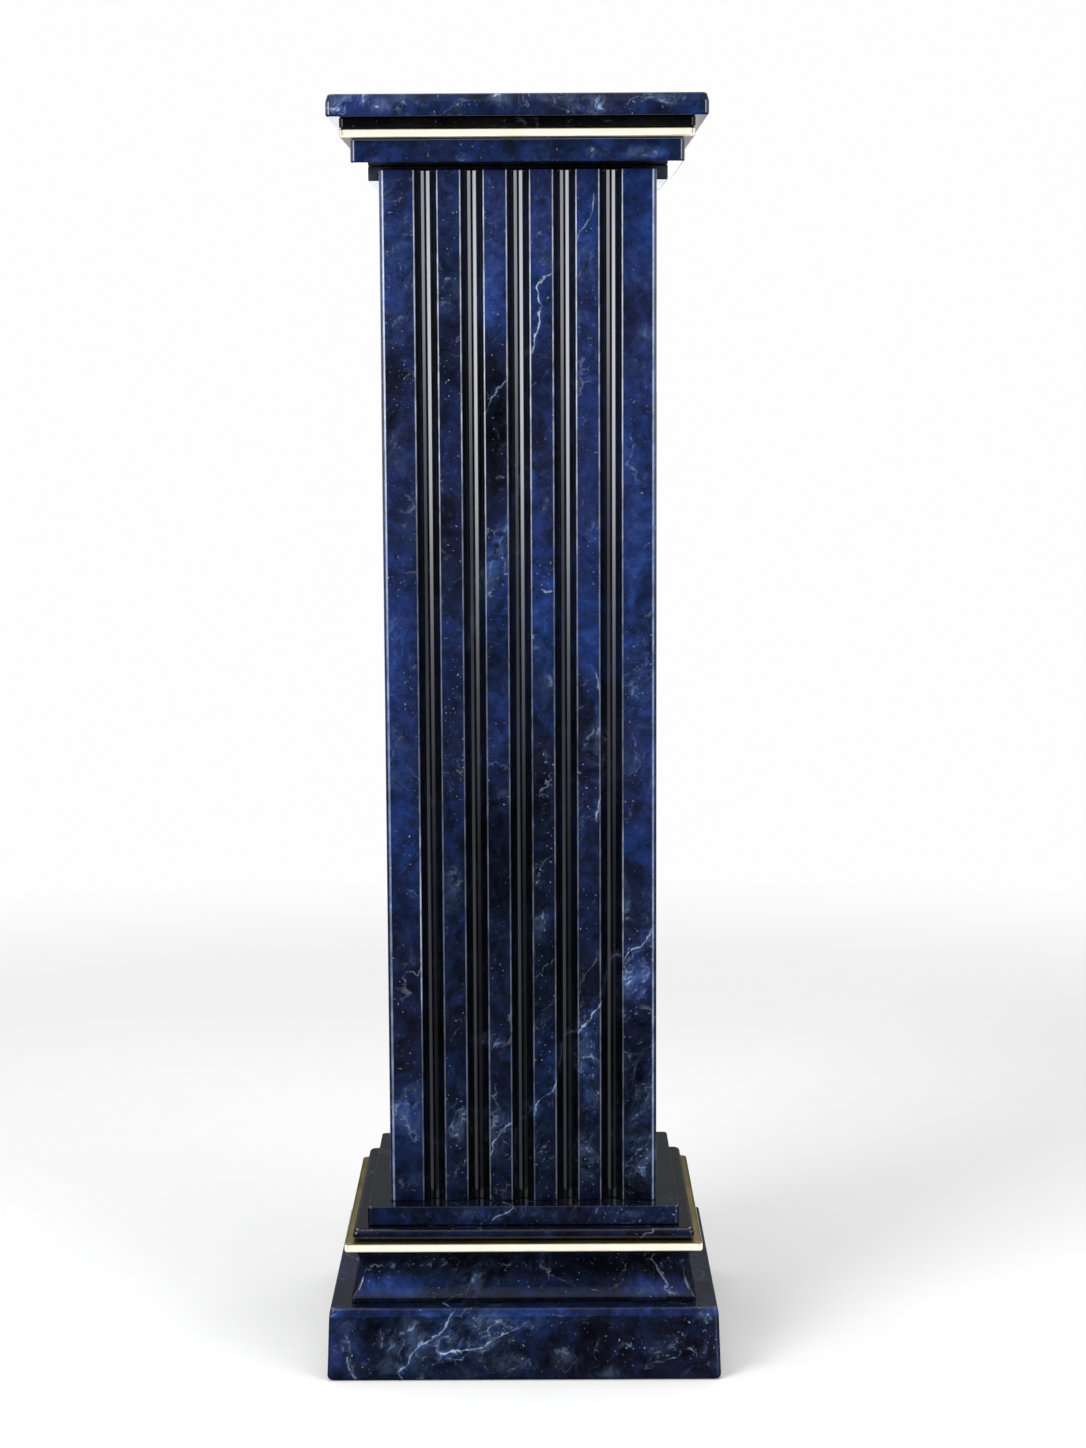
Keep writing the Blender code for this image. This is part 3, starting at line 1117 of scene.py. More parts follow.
@dataclass
class BaseMouldings:
    """The hollow, the lower gilt band, the rounded nosing and the slab under the shaft."""

    hollow_low: float = 0.0588
    hollow_high: float = 0.1005
    hollow_half: float = 0.1373
    foot_height: float = 0.0036
    top_setback: float = 0.0030
    hollow_depth: float = 0.0065
    hollow_steps: int = 26
    hollow_corner: float = 0.0020
    band_low: float = 0.1008
    band_high: float = 0.1083
    band_half: float = 0.1423
    band_round: float = 0.0020
    band_corner: float = 0.0038
    nosing_low: float = 0.1086
    nosing_high: float = 0.1181
    nosing_half: float = 0.1358
    nosing_round: float = 0.0040
    slab_low: float = 0.1184
    slab_high: float = 0.1338
    slab_half: float = 0.1243
    slab_round: float = 0.0013
    corner: float = 0.0032

    def hollow_profile(self) -> list[Corner]:
        """Gives the hollow's profile: an upright foot, then an arc that goes in and comes out again.

        Returns:
            The profile's corners with their radii.
        """
        lip = Vector((self.hollow_half, self.hollow_low + self.foot_height))
        crown = Vector((self.hollow_half - self.top_setback, self.hollow_high))
        chord = (crown - lip).length
        radius = (chord * chord / 4 + self.hollow_depth**2) / (2 * self.hollow_depth)
        outward = Vector(((crown.y - lip.y) / chord, (lip.x - crown.x) / chord))
        centre = (lip + crown) / 2 + outward * (radius - self.hollow_depth)
        start = math.atan2(lip.y - centre.y, lip.x - centre.x) % math.tau
        end = math.atan2(crown.y - centre.y, crown.x - centre.x) % math.tau
        profile = [
            (self.hollow_half - END_INSET, self.hollow_low, 0.0),
            (self.hollow_half, self.hollow_low, 0.0004),
        ]
        for step in range(self.hollow_steps + 1):
            angle = start + (end - start) * step / self.hollow_steps
            spot = centre + Vector((math.cos(angle), math.sin(angle))) * radius
            profile.append((spot.x, spot.y, 0.0006 if step == 0 else 0.0))
        profile.append((crown.x - END_INSET, self.hollow_high, 0.0))
        return profile

    def stone(self, name: str, seed: Place, front: float, **changes: object) -> Marble:
        """Gives the stone of one base course.

        Args:
            name: the finish's name.
            seed: where in the block the course was cut.
            front: how far its front face is from the axis.
            changes: what differs from the common stone.

        Returns:
            The finish.
        """
        return Marble(**{"name": name, "seed": seed, "front": front, "smoke": 0.4, **changes})

    def build(self) -> list[bpy.types.Object]:
        """Builds and dresses the base courses.

        Returns:
            Their pieces.
        """
        slot = "base_moulding_marble"
        hollow_stone = self.stone(
            "hollow_marble",
            (1.3, 5.2, 0.9),
            self.hollow_half,
            # The tone is painted light and shade: paler on the hollow's lower part, which tilts up to the
            # light, and painted shade on its upper part, which faces down under the gilt band; the foot is
            # darker too.
            tone=((0.0, 0.05), (0.08, 0.08), (0.15, 0.42), (0.36, 0.40), (0.56, 0.14), (1.0, 0.06)),
            tone_span=(self.hollow_low, self.hollow_high),
            swing=1.2,
            clouds=(
                Cloud(-0.105, 0.069, 0.040, 0.016, 0.36),
                Cloud(0.100, 0.069, 0.034, 0.016, 0.38),
                Cloud(0.030, 0.072, 0.050, 0.020, -0.14),
            ),
            smokes=(
                Cloud(-0.042, 0.074, 0.014, 0.014, 2.2),
                Cloud(-0.098, 0.088, 0.012, 0.010, 1.0),
                Cloud(-0.070, 0.088, 0.012, 0.012, 0.8),
                Cloud(0.018, 0.088, 0.012, 0.010, 0.8),
                Cloud(0.100, 0.072, 0.022, 0.010, 1.7),
                Cloud(0.122, 0.088, 0.014, 0.012, 1.0),
            ),
        )
        nosing_stone = self.stone(
            "nosing_marble", (6.3, 2.2, 4.1), self.nosing_half, tone=((0.0, 0.22), (1.0, 0.22)), smoke=0.3
        )
        slab_stone = self.stone(
            "base_slab_marble",
            (2.6, 7.7, 3.3),
            self.slab_half,
            tone=((0.0, 0.30), (1.0, 0.34)),
            smokes=(
                Cloud(-0.058, 0.128, 0.028, 0.008, 1.1),
                Cloud(0.000, 0.130, 0.030, 0.006, 1.0),
                Cloud(0.085, 0.128, 0.030, 0.007, 1.1),
            ),
            veins=(
                Vein(
                    ((-0.030, 0.1180), (-0.024, 0.1240), (-0.014, 0.1280), (-0.006, 0.1345)),
                    width=0.0008, strength=0.6, halo=0.2, runs=Runs.ACROSS,
                ),
            ),
        )
        band = slab_corners(self.band_half, self.band_low, self.band_high, self.band_round, self.band_round)
        nosing = slab_corners(
            self.nosing_half, self.nosing_low, self.nosing_high, self.nosing_round, self.nosing_round
        )
        slab = slab_corners(self.slab_half, self.slab_low, self.slab_high, self.slab_round, self.slab_round)
        gilt = Gilt("lower_gilt", self.band_low, self.band_high)
        return [
            Course("base_scotia", slot, self.hollow_profile(), self.hollow_corner, hollow_stone).build(),
            Course("gold_band_lower", "gilt_band", band, self.band_corner, gilt).build(),
            Course("base_nosing", slot, nosing, self.corner, nosing_stone).build(),
            Course("base_slab", slot, slab, self.corner, slab_stone).build(),
        ]


@dataclass
class Shaft:
    """The square shaft with five flutes on each face, open at both ends."""

    low: float = 0.1341
    high: float = 0.9458
    half: float = 0.1067
    corner: float = 0.0036
    rim_steps: int = 3
    flute_radius: float = 0.0084
    first_flute: float = 0.0711
    flutes: int = 5
    arris_round: float = 0.0010
    arris_rim: float = 0.0002
    end_ease: float = 0.0004
    corner_steps: int = 10
    arris_steps: int = 6
    flute_steps: int = 32

    def side(self) -> Outline:
        """Draws the front face in plan, from its left corner to its last flute.

        Returns:
            The outline.
        """
        side = Outline()
        inner = self.corner - self.half
        side.arc((inner, inner), self.corner, 180, 270, self.corner_steps, Ground.CORNER)
        for step in range(1, self.rim_steps + 1):
            side.grounds[step] = side.grounds[self.corner_steps + 1 - step] = Ground.RIM
        reach = self.flute_radius + self.arris_round
        offset = math.sqrt(reach**2 - self.arris_round**2)
        dip = math.degrees(math.asin(self.arris_round / reach))
        pitch = 2 * self.first_flute / (self.flutes - 1)
        for index in range(self.flutes):
            middle = -self.first_flute + pitch * index
            left, right, lip = middle - offset, middle + offset, self.arris_round - self.half
            side.add((left - self.arris_rim, -self.half), (0.0, -1.0))
            edge, steps = self.arris_round, self.arris_steps
            side.arc((left, lip), edge, 270, 360 - dip, steps, Ground.ARRIS)
            side.grounds[-steps - 1] = Ground.ARRIS
            flute = (middle, -self.half)
            side.arc(flute, self.flute_radius, 180 - dip, dip, self.flute_steps, Ground.FLUTE, joined=True)
            side.arc((right, lip), edge, 180 + dip, 270, steps, Ground.ARRIS, joined=True)
            side.add((right + self.arris_rim, -self.half), (0.0, -1.0), Ground.ARRIS)
        return side

    def finish(self) -> Marble:
        """Gives the shaft's stone: royal blue above, blacker below, with one long vein at each end.

        Returns:
            The finish.
        """
        return Marble(
            name="shaft_marble",
            seed=(0.0, 0.0, 0.0),
            arris=True,
            tone=(
                (0.0, 0.20), (0.12, 0.24), (0.28, 0.36), (0.42, 0.50),
                (0.60, 0.60), (0.80, 0.56), (1.0, 0.66),
            ),
            tone_span=(self.low, self.high),
            smoke=0.36,
            smoke_colour=(0.195, 0.295, 0.530),
            hair=0.34,
            front=self.half,
            # Extra painted highlight along the arrises, where they catch more light.
            arris_highlight_patches=(
                Cloud(-0.0806, 0.360, 0.006, 0.110, 1.30),
                Cloud(-0.0806, 0.360, 0.006, 0.060, 1.60),
                Cloud(0.0806, 0.390, 0.006, 0.070, 0.70),
                Cloud(-0.0450, 0.740, 0.006, 0.050, 0.40),
            ),
            clouds=(
                Cloud(-0.095, 0.885, 0.022, 0.060, 0.06),
                Cloud(-0.096, 0.775, 0.022, 0.065, -0.18),
                Cloud(-0.058, 0.660, 0.022, 0.075, -0.22),
                Cloud(-0.058, 0.890, 0.022, 0.060, -0.10),
                Cloud(-0.016, 0.690, 0.022, 0.050, -0.12),
                Cloud(-0.058, 0.300, 0.022, 0.070, -0.08),
                Cloud(0.010, 0.190, 0.022, 0.050, -0.10),
                Cloud(0.092, 0.190, 0.020, 0.050, 0.08),
                Cloud(-0.056, 0.830, 0.026, 0.090, -0.26),
                Cloud(-0.022, 0.755, 0.026, 0.090, -0.60),
                Cloud(-0.024, 0.850, 0.014, 0.040, 0.28),
                Cloud(0.014, 0.890, 0.024, 0.060, 0.06),
                Cloud(0.016, 0.750, 0.020, 0.060, -0.14),
                Cloud(0.050, 0.890, 0.030, 0.050, 0.12),
                Cloud(0.094, 0.920, 0.016, 0.026, -0.26),
                Cloud(0.094, 0.860, 0.016, 0.040, 0.16),
                Cloud(0.090, 0.680, 0.022, 0.150, 0.12),
                Cloud(-0.098, 0.600, 0.024, 0.140, 0.12),
                Cloud(-0.100, 0.440, 0.020, 0.080, 0.14),
                Cloud(0.014, 0.600, 0.020, 0.070, 0.16),
                Cloud(-0.020, 0.580, 0.022, 0.050, -0.18),
                Cloud(0.052, 0.500, 0.024, 0.060, -0.16),
                Cloud(0.016, 0.450, 0.026, 0.110, -0.30),
                Cloud(-0.020, 0.420, 0.026, 0.100, -0.24),
                Cloud(0.060, 0.580, 0.016, 0.080, 0.14),
                Cloud(0.100, 0.480, 0.020, 0.140, 0.16),
                Cloud(0.056, 0.250, 0.020, 0.070, 0.36),
                Cloud(0.092, 0.320, 0.018, 0.030, 0.34),
                Cloud(-0.092, 0.200, 0.024, 0.050, 0.24),
                Cloud(0.010, 0.310, 0.045, 0.060, -0.16),
            ),
            smokes=(
                Cloud(-0.095, 0.914, 0.018, 0.030, 0.75),
                Cloud(-0.091, 0.850, 0.018, 0.040, 0.60),
                Cloud(-0.093, 0.730, 0.018, 0.036, 0.60),
                Cloud(-0.062, 0.870, 0.018, 0.036, 0.50),
                Cloud(-0.025, 0.880, 0.016, 0.040, 0.60),
                Cloud(0.019, 0.885, 0.016, 0.035, 0.60),
                Cloud(0.050, 0.872, 0.018, 0.022, 1.00),
                Cloud(0.043, 0.831, 0.006, 0.010, 1.20),
                Cloud(0.098, 0.824, 0.014, 0.012, 1.10),
                Cloud(0.013, 0.686, 0.016, 0.012, 1.00),
                Cloud(-0.008, 0.655, 0.018, 0.040, 0.80),
                Cloud(-0.028, 0.628, 0.014, 0.026, 0.80),
                Cloud(0.018, 0.560, 0.020, 0.030, 0.80),
                Cloud(0.062, 0.500, 0.014, 0.040, 0.90),
                Cloud(0.094, 0.555, 0.016, 0.045, 0.60),
                Cloud(-0.098, 0.490, 0.018, 0.040, 0.70),
                Cloud(-0.012, 0.459, 0.010, 0.016, 0.90),
                Cloud(-0.055, 0.388, 0.014, 0.022, 1.00),
                Cloud(0.013, 0.402, 0.010, 0.014, 1.00),
                Cloud(0.014, 0.362, 0.016, 0.022, 1.00),
                Cloud(0.083, 0.380, 0.006, 0.024, 1.30),
                Cloud(0.092, 0.318, 0.018, 0.020, 2.60),
                Cloud(0.093, 0.235, 0.018, 0.045, 1.30),
                Cloud(0.052, 0.240, 0.018, 0.060, 0.85),
                Cloud(-0.026, 0.266, 0.022, 0.010, 1.00),
                Cloud(-0.092, 0.212, 0.022, 0.030, 1.30),
                Cloud(-0.054, 0.198, 0.016, 0.020, 1.20),
                Cloud(-0.018, 0.200, 0.014, 0.030, 0.60),
                Cloud(0.018, 0.175, 0.014, 0.024, 1.10),
                Cloud(0.050, 0.172, 0.016, 0.036, 1.10),
                Cloud(0.095, 0.166, 0.018, 0.032, 1.60),
                Cloud(-0.080, 0.146, 0.040, 0.010, 0.80),
            ),
            veins=(
                Vein(
                    (
                        (0.0591, 0.9276), (0.0570, 0.9150), (0.0530, 0.9020), (0.0457, 0.8953),
                        (0.0429, 0.8817), (0.0329, 0.8735), (0.0265, 0.8667), (0.0182, 0.8622),
                        (0.0151, 0.8531), (0.0166, 0.8371), (0.0122, 0.8159), (0.0084, 0.8025),
                        (-0.0014, 0.7938), (-0.0115, 0.7839), (-0.0209, 0.7702), (-0.0272, 0.7587),
                        (-0.0358, 0.7365),
                    ),
                    width=0.0009, strength=0.95, halo=0.30,
                    fades=(
                        (0.0, 0.0), (0.10, 0.22), (0.24, 0.34), (0.36, 0.36), (0.42, 0.95),
                        (0.62, 1.0), (0.70, 0.55), (0.85, 0.35), (0.95, 0.45), (1.0, 0.0),
                    ),
                ),
                Vein(
                    (
                        (0.1039, 0.3572), (0.0979, 0.3468), (0.0797, 0.3315), (0.0751, 0.3263),
                        (0.0689, 0.3081), (0.0617, 0.2936), (0.0446, 0.2718), (0.0370, 0.2637),
                        (0.0321, 0.2449), (0.0249, 0.2262), (0.0104, 0.2123), (0.0092, 0.2046),
                        (-0.0017, 0.1903), (-0.0034, 0.1697), (-0.0010, 0.1400),
                    ),
                    width=0.0008, strength=0.90, halo=0.60,
                    fades=(
                        (0.0, 0.0), (0.08, 0.7), (0.35, 0.6), (0.5, 0.9),
                        (0.75, 0.8), (0.92, 1.0), (1.0, 0.0),
                    ),
                ),
                Vein(
                    (
                        (0.0080, 0.7300), (0.0060, 0.7060), (-0.0110, 0.6700), (-0.0270, 0.6280),
                        (-0.0330, 0.6000), (-0.0370, 0.5700),
                    ),
                    width=0.0010, strength=0.15, halo=0.75,
                ),
                Vein(
                    ((-0.0260, 0.1720), (-0.0180, 0.1900), (-0.0060, 0.2010)),
                    width=0.0008, strength=0.6, halo=0.15, runs=Runs.ACROSS,
                ),
                Vein(
                    (
                        (0.0600, 0.5600), (0.0640, 0.5200), (0.0670, 0.4900), (0.0630, 0.4600),
                        (0.0590, 0.4400),
                    ),
                    width=0.0008, strength=0.6, halo=0.35,
                ),
                Vein(
                    ((0.0160, 0.6230), (0.0240, 0.6220), (0.0290, 0.6190)),
                    width=0.0007, strength=0.6, halo=0.1, runs=Runs.ACROSS,
                ),
            ),
        )

    def build(self) -> list[bpy.types.Object]:
        """Builds and dresses the shaft.

        Returns:
            Its piece.
        """
        plan = Outline()
        for quarter in range(4):
            plan.join(self.side().turned(90.0 * quarter))
        ease = ((self.end_ease, 0.0), (0.3 * self.end_ease, 0.3 * self.end_ease), (0.0, self.end_ease))
        levels = [(inset, self.low + rise) for inset, rise in ease]
        levels += [(inset, self.high - rise) for inset, rise in reversed(ease)]
        rings = []
        for inset, height in levels:
            rings.append([Vector((*(p - n * inset), height)) for p, n in zip(plan.points, plan.normals)])
        mesh = skin("shaft_stone", rings)
        count = len(plan.points)
        for ground in (Ground.RIM, Ground.ARRIS, Ground.FLUTE):
            marks = mesh.attributes.new(ground.value, "FLOAT", "FACE")
            for face in mesh.polygons:
                step = (face.index - 1) % count
                inside = 0 < face.index < len(mesh.polygons) - 1
                of_kind = plan.grounds[(step + 1) % count] is ground
                marks.data[face.index].value = 1.0 if inside and of_kind else 0.0
        return [mount(mesh, self.finish().material(), "shaft")]


@dataclass
class Capital:
    """The neck saddle, the slab, the upper gilt band, the fillet and the top slab."""

    neck_low: float = 0.9461
    neck_high: float = 0.9500
    lip_low: float = 0.9389
    neck_half_across: float = 0.1160
    neck_channel: float = 0.1070
    neck_half_deep: float = 0.0817
    neck_round: float = 0.0012
    neck_top_round: float = 0.0008
    channel_round: float = 0.0003
    lip_round: float = 0.0006
    neck_ends: tuple[Point, ...] = ((0.0008, 1.0), (0.0002, 0.996), (0.0, 0.990))
    slab_low: float = 0.9503
    slab_high: float = 0.9679
    slab_half: float = 0.1270
    slab_round: float = 0.0013
    band_low: float = 0.9682
    band_high: float = 0.9754
    band_half: float = 0.1349
    band_round: float = 0.0020
    band_corner: float = 0.0038
    fillet_low: float = 0.9757
    fillet_high: float = 0.9830
    fillet_round: float = 0.0008
    top_low: float = 0.9833
    top_high: float = 1.0000
    top_half: float = 0.1445
    top_crown: float = 0.1427
    top_band: float = 0.0062
    top_foot_round: float = 0.0016
    top_shoulder_round: float = 0.0030
    top_crown_round: float = 0.0020
    corner: float = 0.0032

    def black(self, name: str, seed: Place, grey: float) -> Marble:
        """Gives the near-black stone of the neck and the fillet.

        Args:
            name: the finish's name.
            seed: where in the block the course was cut.
            grey: how pale it is, from 0 to 1.

        Returns:
            The finish.
        """
        return Marble(
            name=name,
            seed=seed,
            tone=((0.0, grey), (1.0, grey)),
            swing=0.45,
            smoke=0.05,
            hair=0.12,
            flecks=0.2,
            violet=0.0,
            polish=0.25,
            shades=(
                (0.0, (0.0024, 0.0025, 0.0030)),
                (0.5, (0.0160, 0.0165, 0.0190)),
                (1.0, (0.1350, 0.1550, 0.2200)),
            ),
        )

    def neck(self) -> bpy.types.Object:
        """Builds the neck saddle: a plate with a lip down each side, drawn from the front and run back.

        Returns:
            The piece.
        """
        across, channel = self.neck_half_across, self.neck_channel
        corners = [
            (-across, self.lip_low, self.neck_round),
            (-channel, self.lip_low, self.lip_round),
            (-channel, self.neck_low, self.channel_round),
            (channel, self.neck_low, self.channel_round),
            (channel, self.lip_low, self.lip_round),
            (across, self.lip_low, self.neck_round),
            (across, self.neck_high, self.neck_top_round),
            (-across, self.neck_high, self.neck_top_round),
        ]
        loop = rounded([corners[-1], *corners, corners[0]], 6)[1:-1]
        rings = []
        for inset, deep in (*self.neck_ends, *((inset, -deep) for inset, deep in reversed(self.neck_ends))):
            ring = []
            for index, spot in enumerate(loop):
                step = Vector(loop[(index + 1) % len(loop)]) - Vector(loop[index - 1])
                moved = Vector(spot) + Vector((-step.y, step.x)).normalized() * inset
                ring.append(Vector((moved.x, deep * self.neck_half_deep, moved.y)))
            rings.append(ring)
        finish = self.black("neck_marble", (4.0, 1.0, 2.0), 0.64)
        return mount(skin("neck_saddle_stone", rings), finish.material(), "neck_saddle")

    def slab_stone(self) -> Marble:
        """Gives the stone of the capital's lower slab.

        Returns:
            The finish.
        """
        return Marble(
            name="capital_slab_marble",
            seed=(5.5, 3.2, 0.2),
            tone=((0.0, 0.54), (1.0, 0.54)),
            smoke=0.2,
            smoke_colour=(0.240, 0.340, 0.580),
            hair=0.3,
            front=self.slab_half,
            clouds=(Cloud(0.095, 0.960, 0.028, 0.010, 0.30), Cloud(-0.010, 0.960, 0.020, 0.012, -0.10)),
            smokes=(
                Cloud(0.056, 0.9560, 0.008, 0.006, 2.6),
                Cloud(-0.108, 0.9520, 0.006, 0.003, 1.6),
                Cloud(-0.040, 0.9560, 0.010, 0.005, 1.1),
                Cloud(0.095, 0.9600, 0.024, 0.007, 1.0),
            ),
        )

    def top_stone(self) -> Marble:
        """Gives the stone of the top slab: blue, with mottled pale clouds along its front.

        Returns:
            The finish.
        """
        return Marble(
            name="top_slab_marble",
            seed=(7.7, 2.9, 1.3),
            tone=((0.0, 0.54), (0.55, 0.56), (0.66, 0.50), (1.0, 0.50)),
            tone_span=(self.top_low, self.top_high),
            smoke=0.35,
            smoke_colour=(0.270, 0.370, 0.620),
            smoke_depth=0.05,
            hair=0.35,
            front=self.top_half,
            smokes=(
                Cloud(-0.135, 0.9930, 0.015, 0.011, 3.4),
                Cloud(-0.120, 0.9960, 0.012, 0.009, 3.0),
                Cloud(-0.082, 0.9950, 0.020, 0.009, 1.2),
                Cloud(-0.105, 0.9900, 0.014, 0.009, 1.8),
                Cloud(-0.016, 0.9960, 0.016, 0.009, 1.5),
                Cloud(0.048, 0.9930, 0.026, 0.011, 1.4),
                Cloud(0.116, 0.9960, 0.018, 0.009, 1.4),
                Cloud(0.020, 0.9960, 0.014, 0.007, 0.9),
                Cloud(-0.048, 0.9880, 0.012, 0.007, 0.9),
            ),
        )

    def build(self) -> list[bpy.types.Object]:
        """Builds and dresses the neck and the capital's courses.

        Returns:
            Their pieces.
        """
        slab = slab_corners(self.slab_half, self.slab_low, self.slab_high, self.slab_round, self.slab_round)
        band = slab_corners(self.band_half, self.band_low, self.band_high, self.band_round, self.band_round)
        fillet = slab_corners(
            self.band_half, self.fillet_low, self.fillet_high, self.fillet_round, self.fillet_round
        )
        top = [
            (self.top_half - END_INSET, self.top_low, 0.0),
            (self.top_half, self.top_low, self.top_foot_round),
            (self.top_half, self.top_high - self.top_band, self.top_shoulder_round),
            (self.top_crown, self.top_high, self.top_crown_round),
            (self.top_crown - END_INSET, self.top_high, 0.0),
        ]
        gilt = Gilt("upper_gilt", self.band_low, self.band_high)
        black = self.black("fillet_marble", (1.0, 6.0, 3.0), 0.05)
        return [
            self.neck(),
            Course("capital_slab", "capital_marble", slab, self.corner, self.slab_stone()).build(),
            Course("gold_band_upper", "gilt_band", band, self.band_corner, gilt).build(),
            Course("capital_fillet", "black_marble", fillet, self.corner, black).build(),
            Course("top_slab", "capital_marble", top, self.corner, self.top_stone()).build(),
        ]


# Studio


@dataclass(frozen=True)
class Glow:
    """A shining board that only polished stone sees, and that shows only faintly at second hand."""

    name: str
    corners: tuple[Place, ...]
    strength: float
    level_curve: tuple[Point, ...] = ((0.0, 1.0), (1.0, 1.0))
    side_curve: tuple[Point, ...] = ((0.0, 1.0), (1.0, 1.0))
    echo: float = 0.12
    colour: Colour = (0.93, 0.95, 1.0)

    def build(self, seen_by: bpy.types.Collection) -> bpy.types.Object:
        """Builds the board, brighter or dimmer from its first edge to its last as its curves say.

        Args:
            seen_by: the pieces that the board shines on.

        Returns:
            The board.
        """
        mesh = bpy.data.meshes.new(self.name)
        mesh.from_pydata(self.corners, [], [(0, 1, 2, 3)])
        layer = mesh.uv_layers.new(name="spread")
        for corner, place in zip(layer.data, ((0, 0), (1, 0), (1, 1), (0, 1))):
            corner.uv = place
        material, graph = new_material(self.name)
        along, up, _ = graph.split(graph.add("ShaderNodeTexCoord").outputs["UV"])
        sideways, upwards = graph.curve(along, self.side_curve), graph.curve(up, self.level_curve)
        bounces = graph.add("ShaderNodeLightPath").outputs["Ray Depth"]
        fresh = graph.smooth(bounces, 1.4, 1.6, self.strength, self.echo * self.strength)
        strength = graph.math("MULTIPLY", graph.math("MULTIPLY", sideways, upwards), fresh)
        graph.end(graph.fill("ShaderNodeEmission", {"Color": (*self.colour, 1.0), "Strength": strength}))
        mesh.materials.append(material)
        board = bpy.data.objects.new(self.name, mesh)
        bpy.context.scene.collection.objects.link(board)
        board.visible_camera = board.visible_diffuse = board.visible_shadow = False
        board.light_linking.receiver_collection = seen_by
        return board


def upright(azimuths: Point, distance: float, low: float, high: float) -> tuple[Place, ...]:
    """Gives the corners of an upright board that faces the column.

    Args:
        azimuths: its two ends, in degrees to the right of the front, seen from above.
        distance: how far it stands from the axis.
        low: the level of its lower edge.
        high: the level of its upper edge.

    Returns:
        The corners.
    """
    turns = (math.radians(azimuth) for azimuth in azimuths)
    near, far = ((distance * math.sin(turn), -distance * math.cos(turn)) for turn in turns)
    return ((*near, low), (*far, low), (*far, high), (*near, high))


def group(name: str, members: list[bpy.types.Object]) -> bpy.types.Collection:
    """Gathers pieces that a light shines on.

    Args:
        name: the group's name.
        members: the pieces.

    Returns:
        The group.
    """
    gathered = bpy.data.collections.new(name)
    for member in members:
        gathered.objects.link(member)
    return gathered


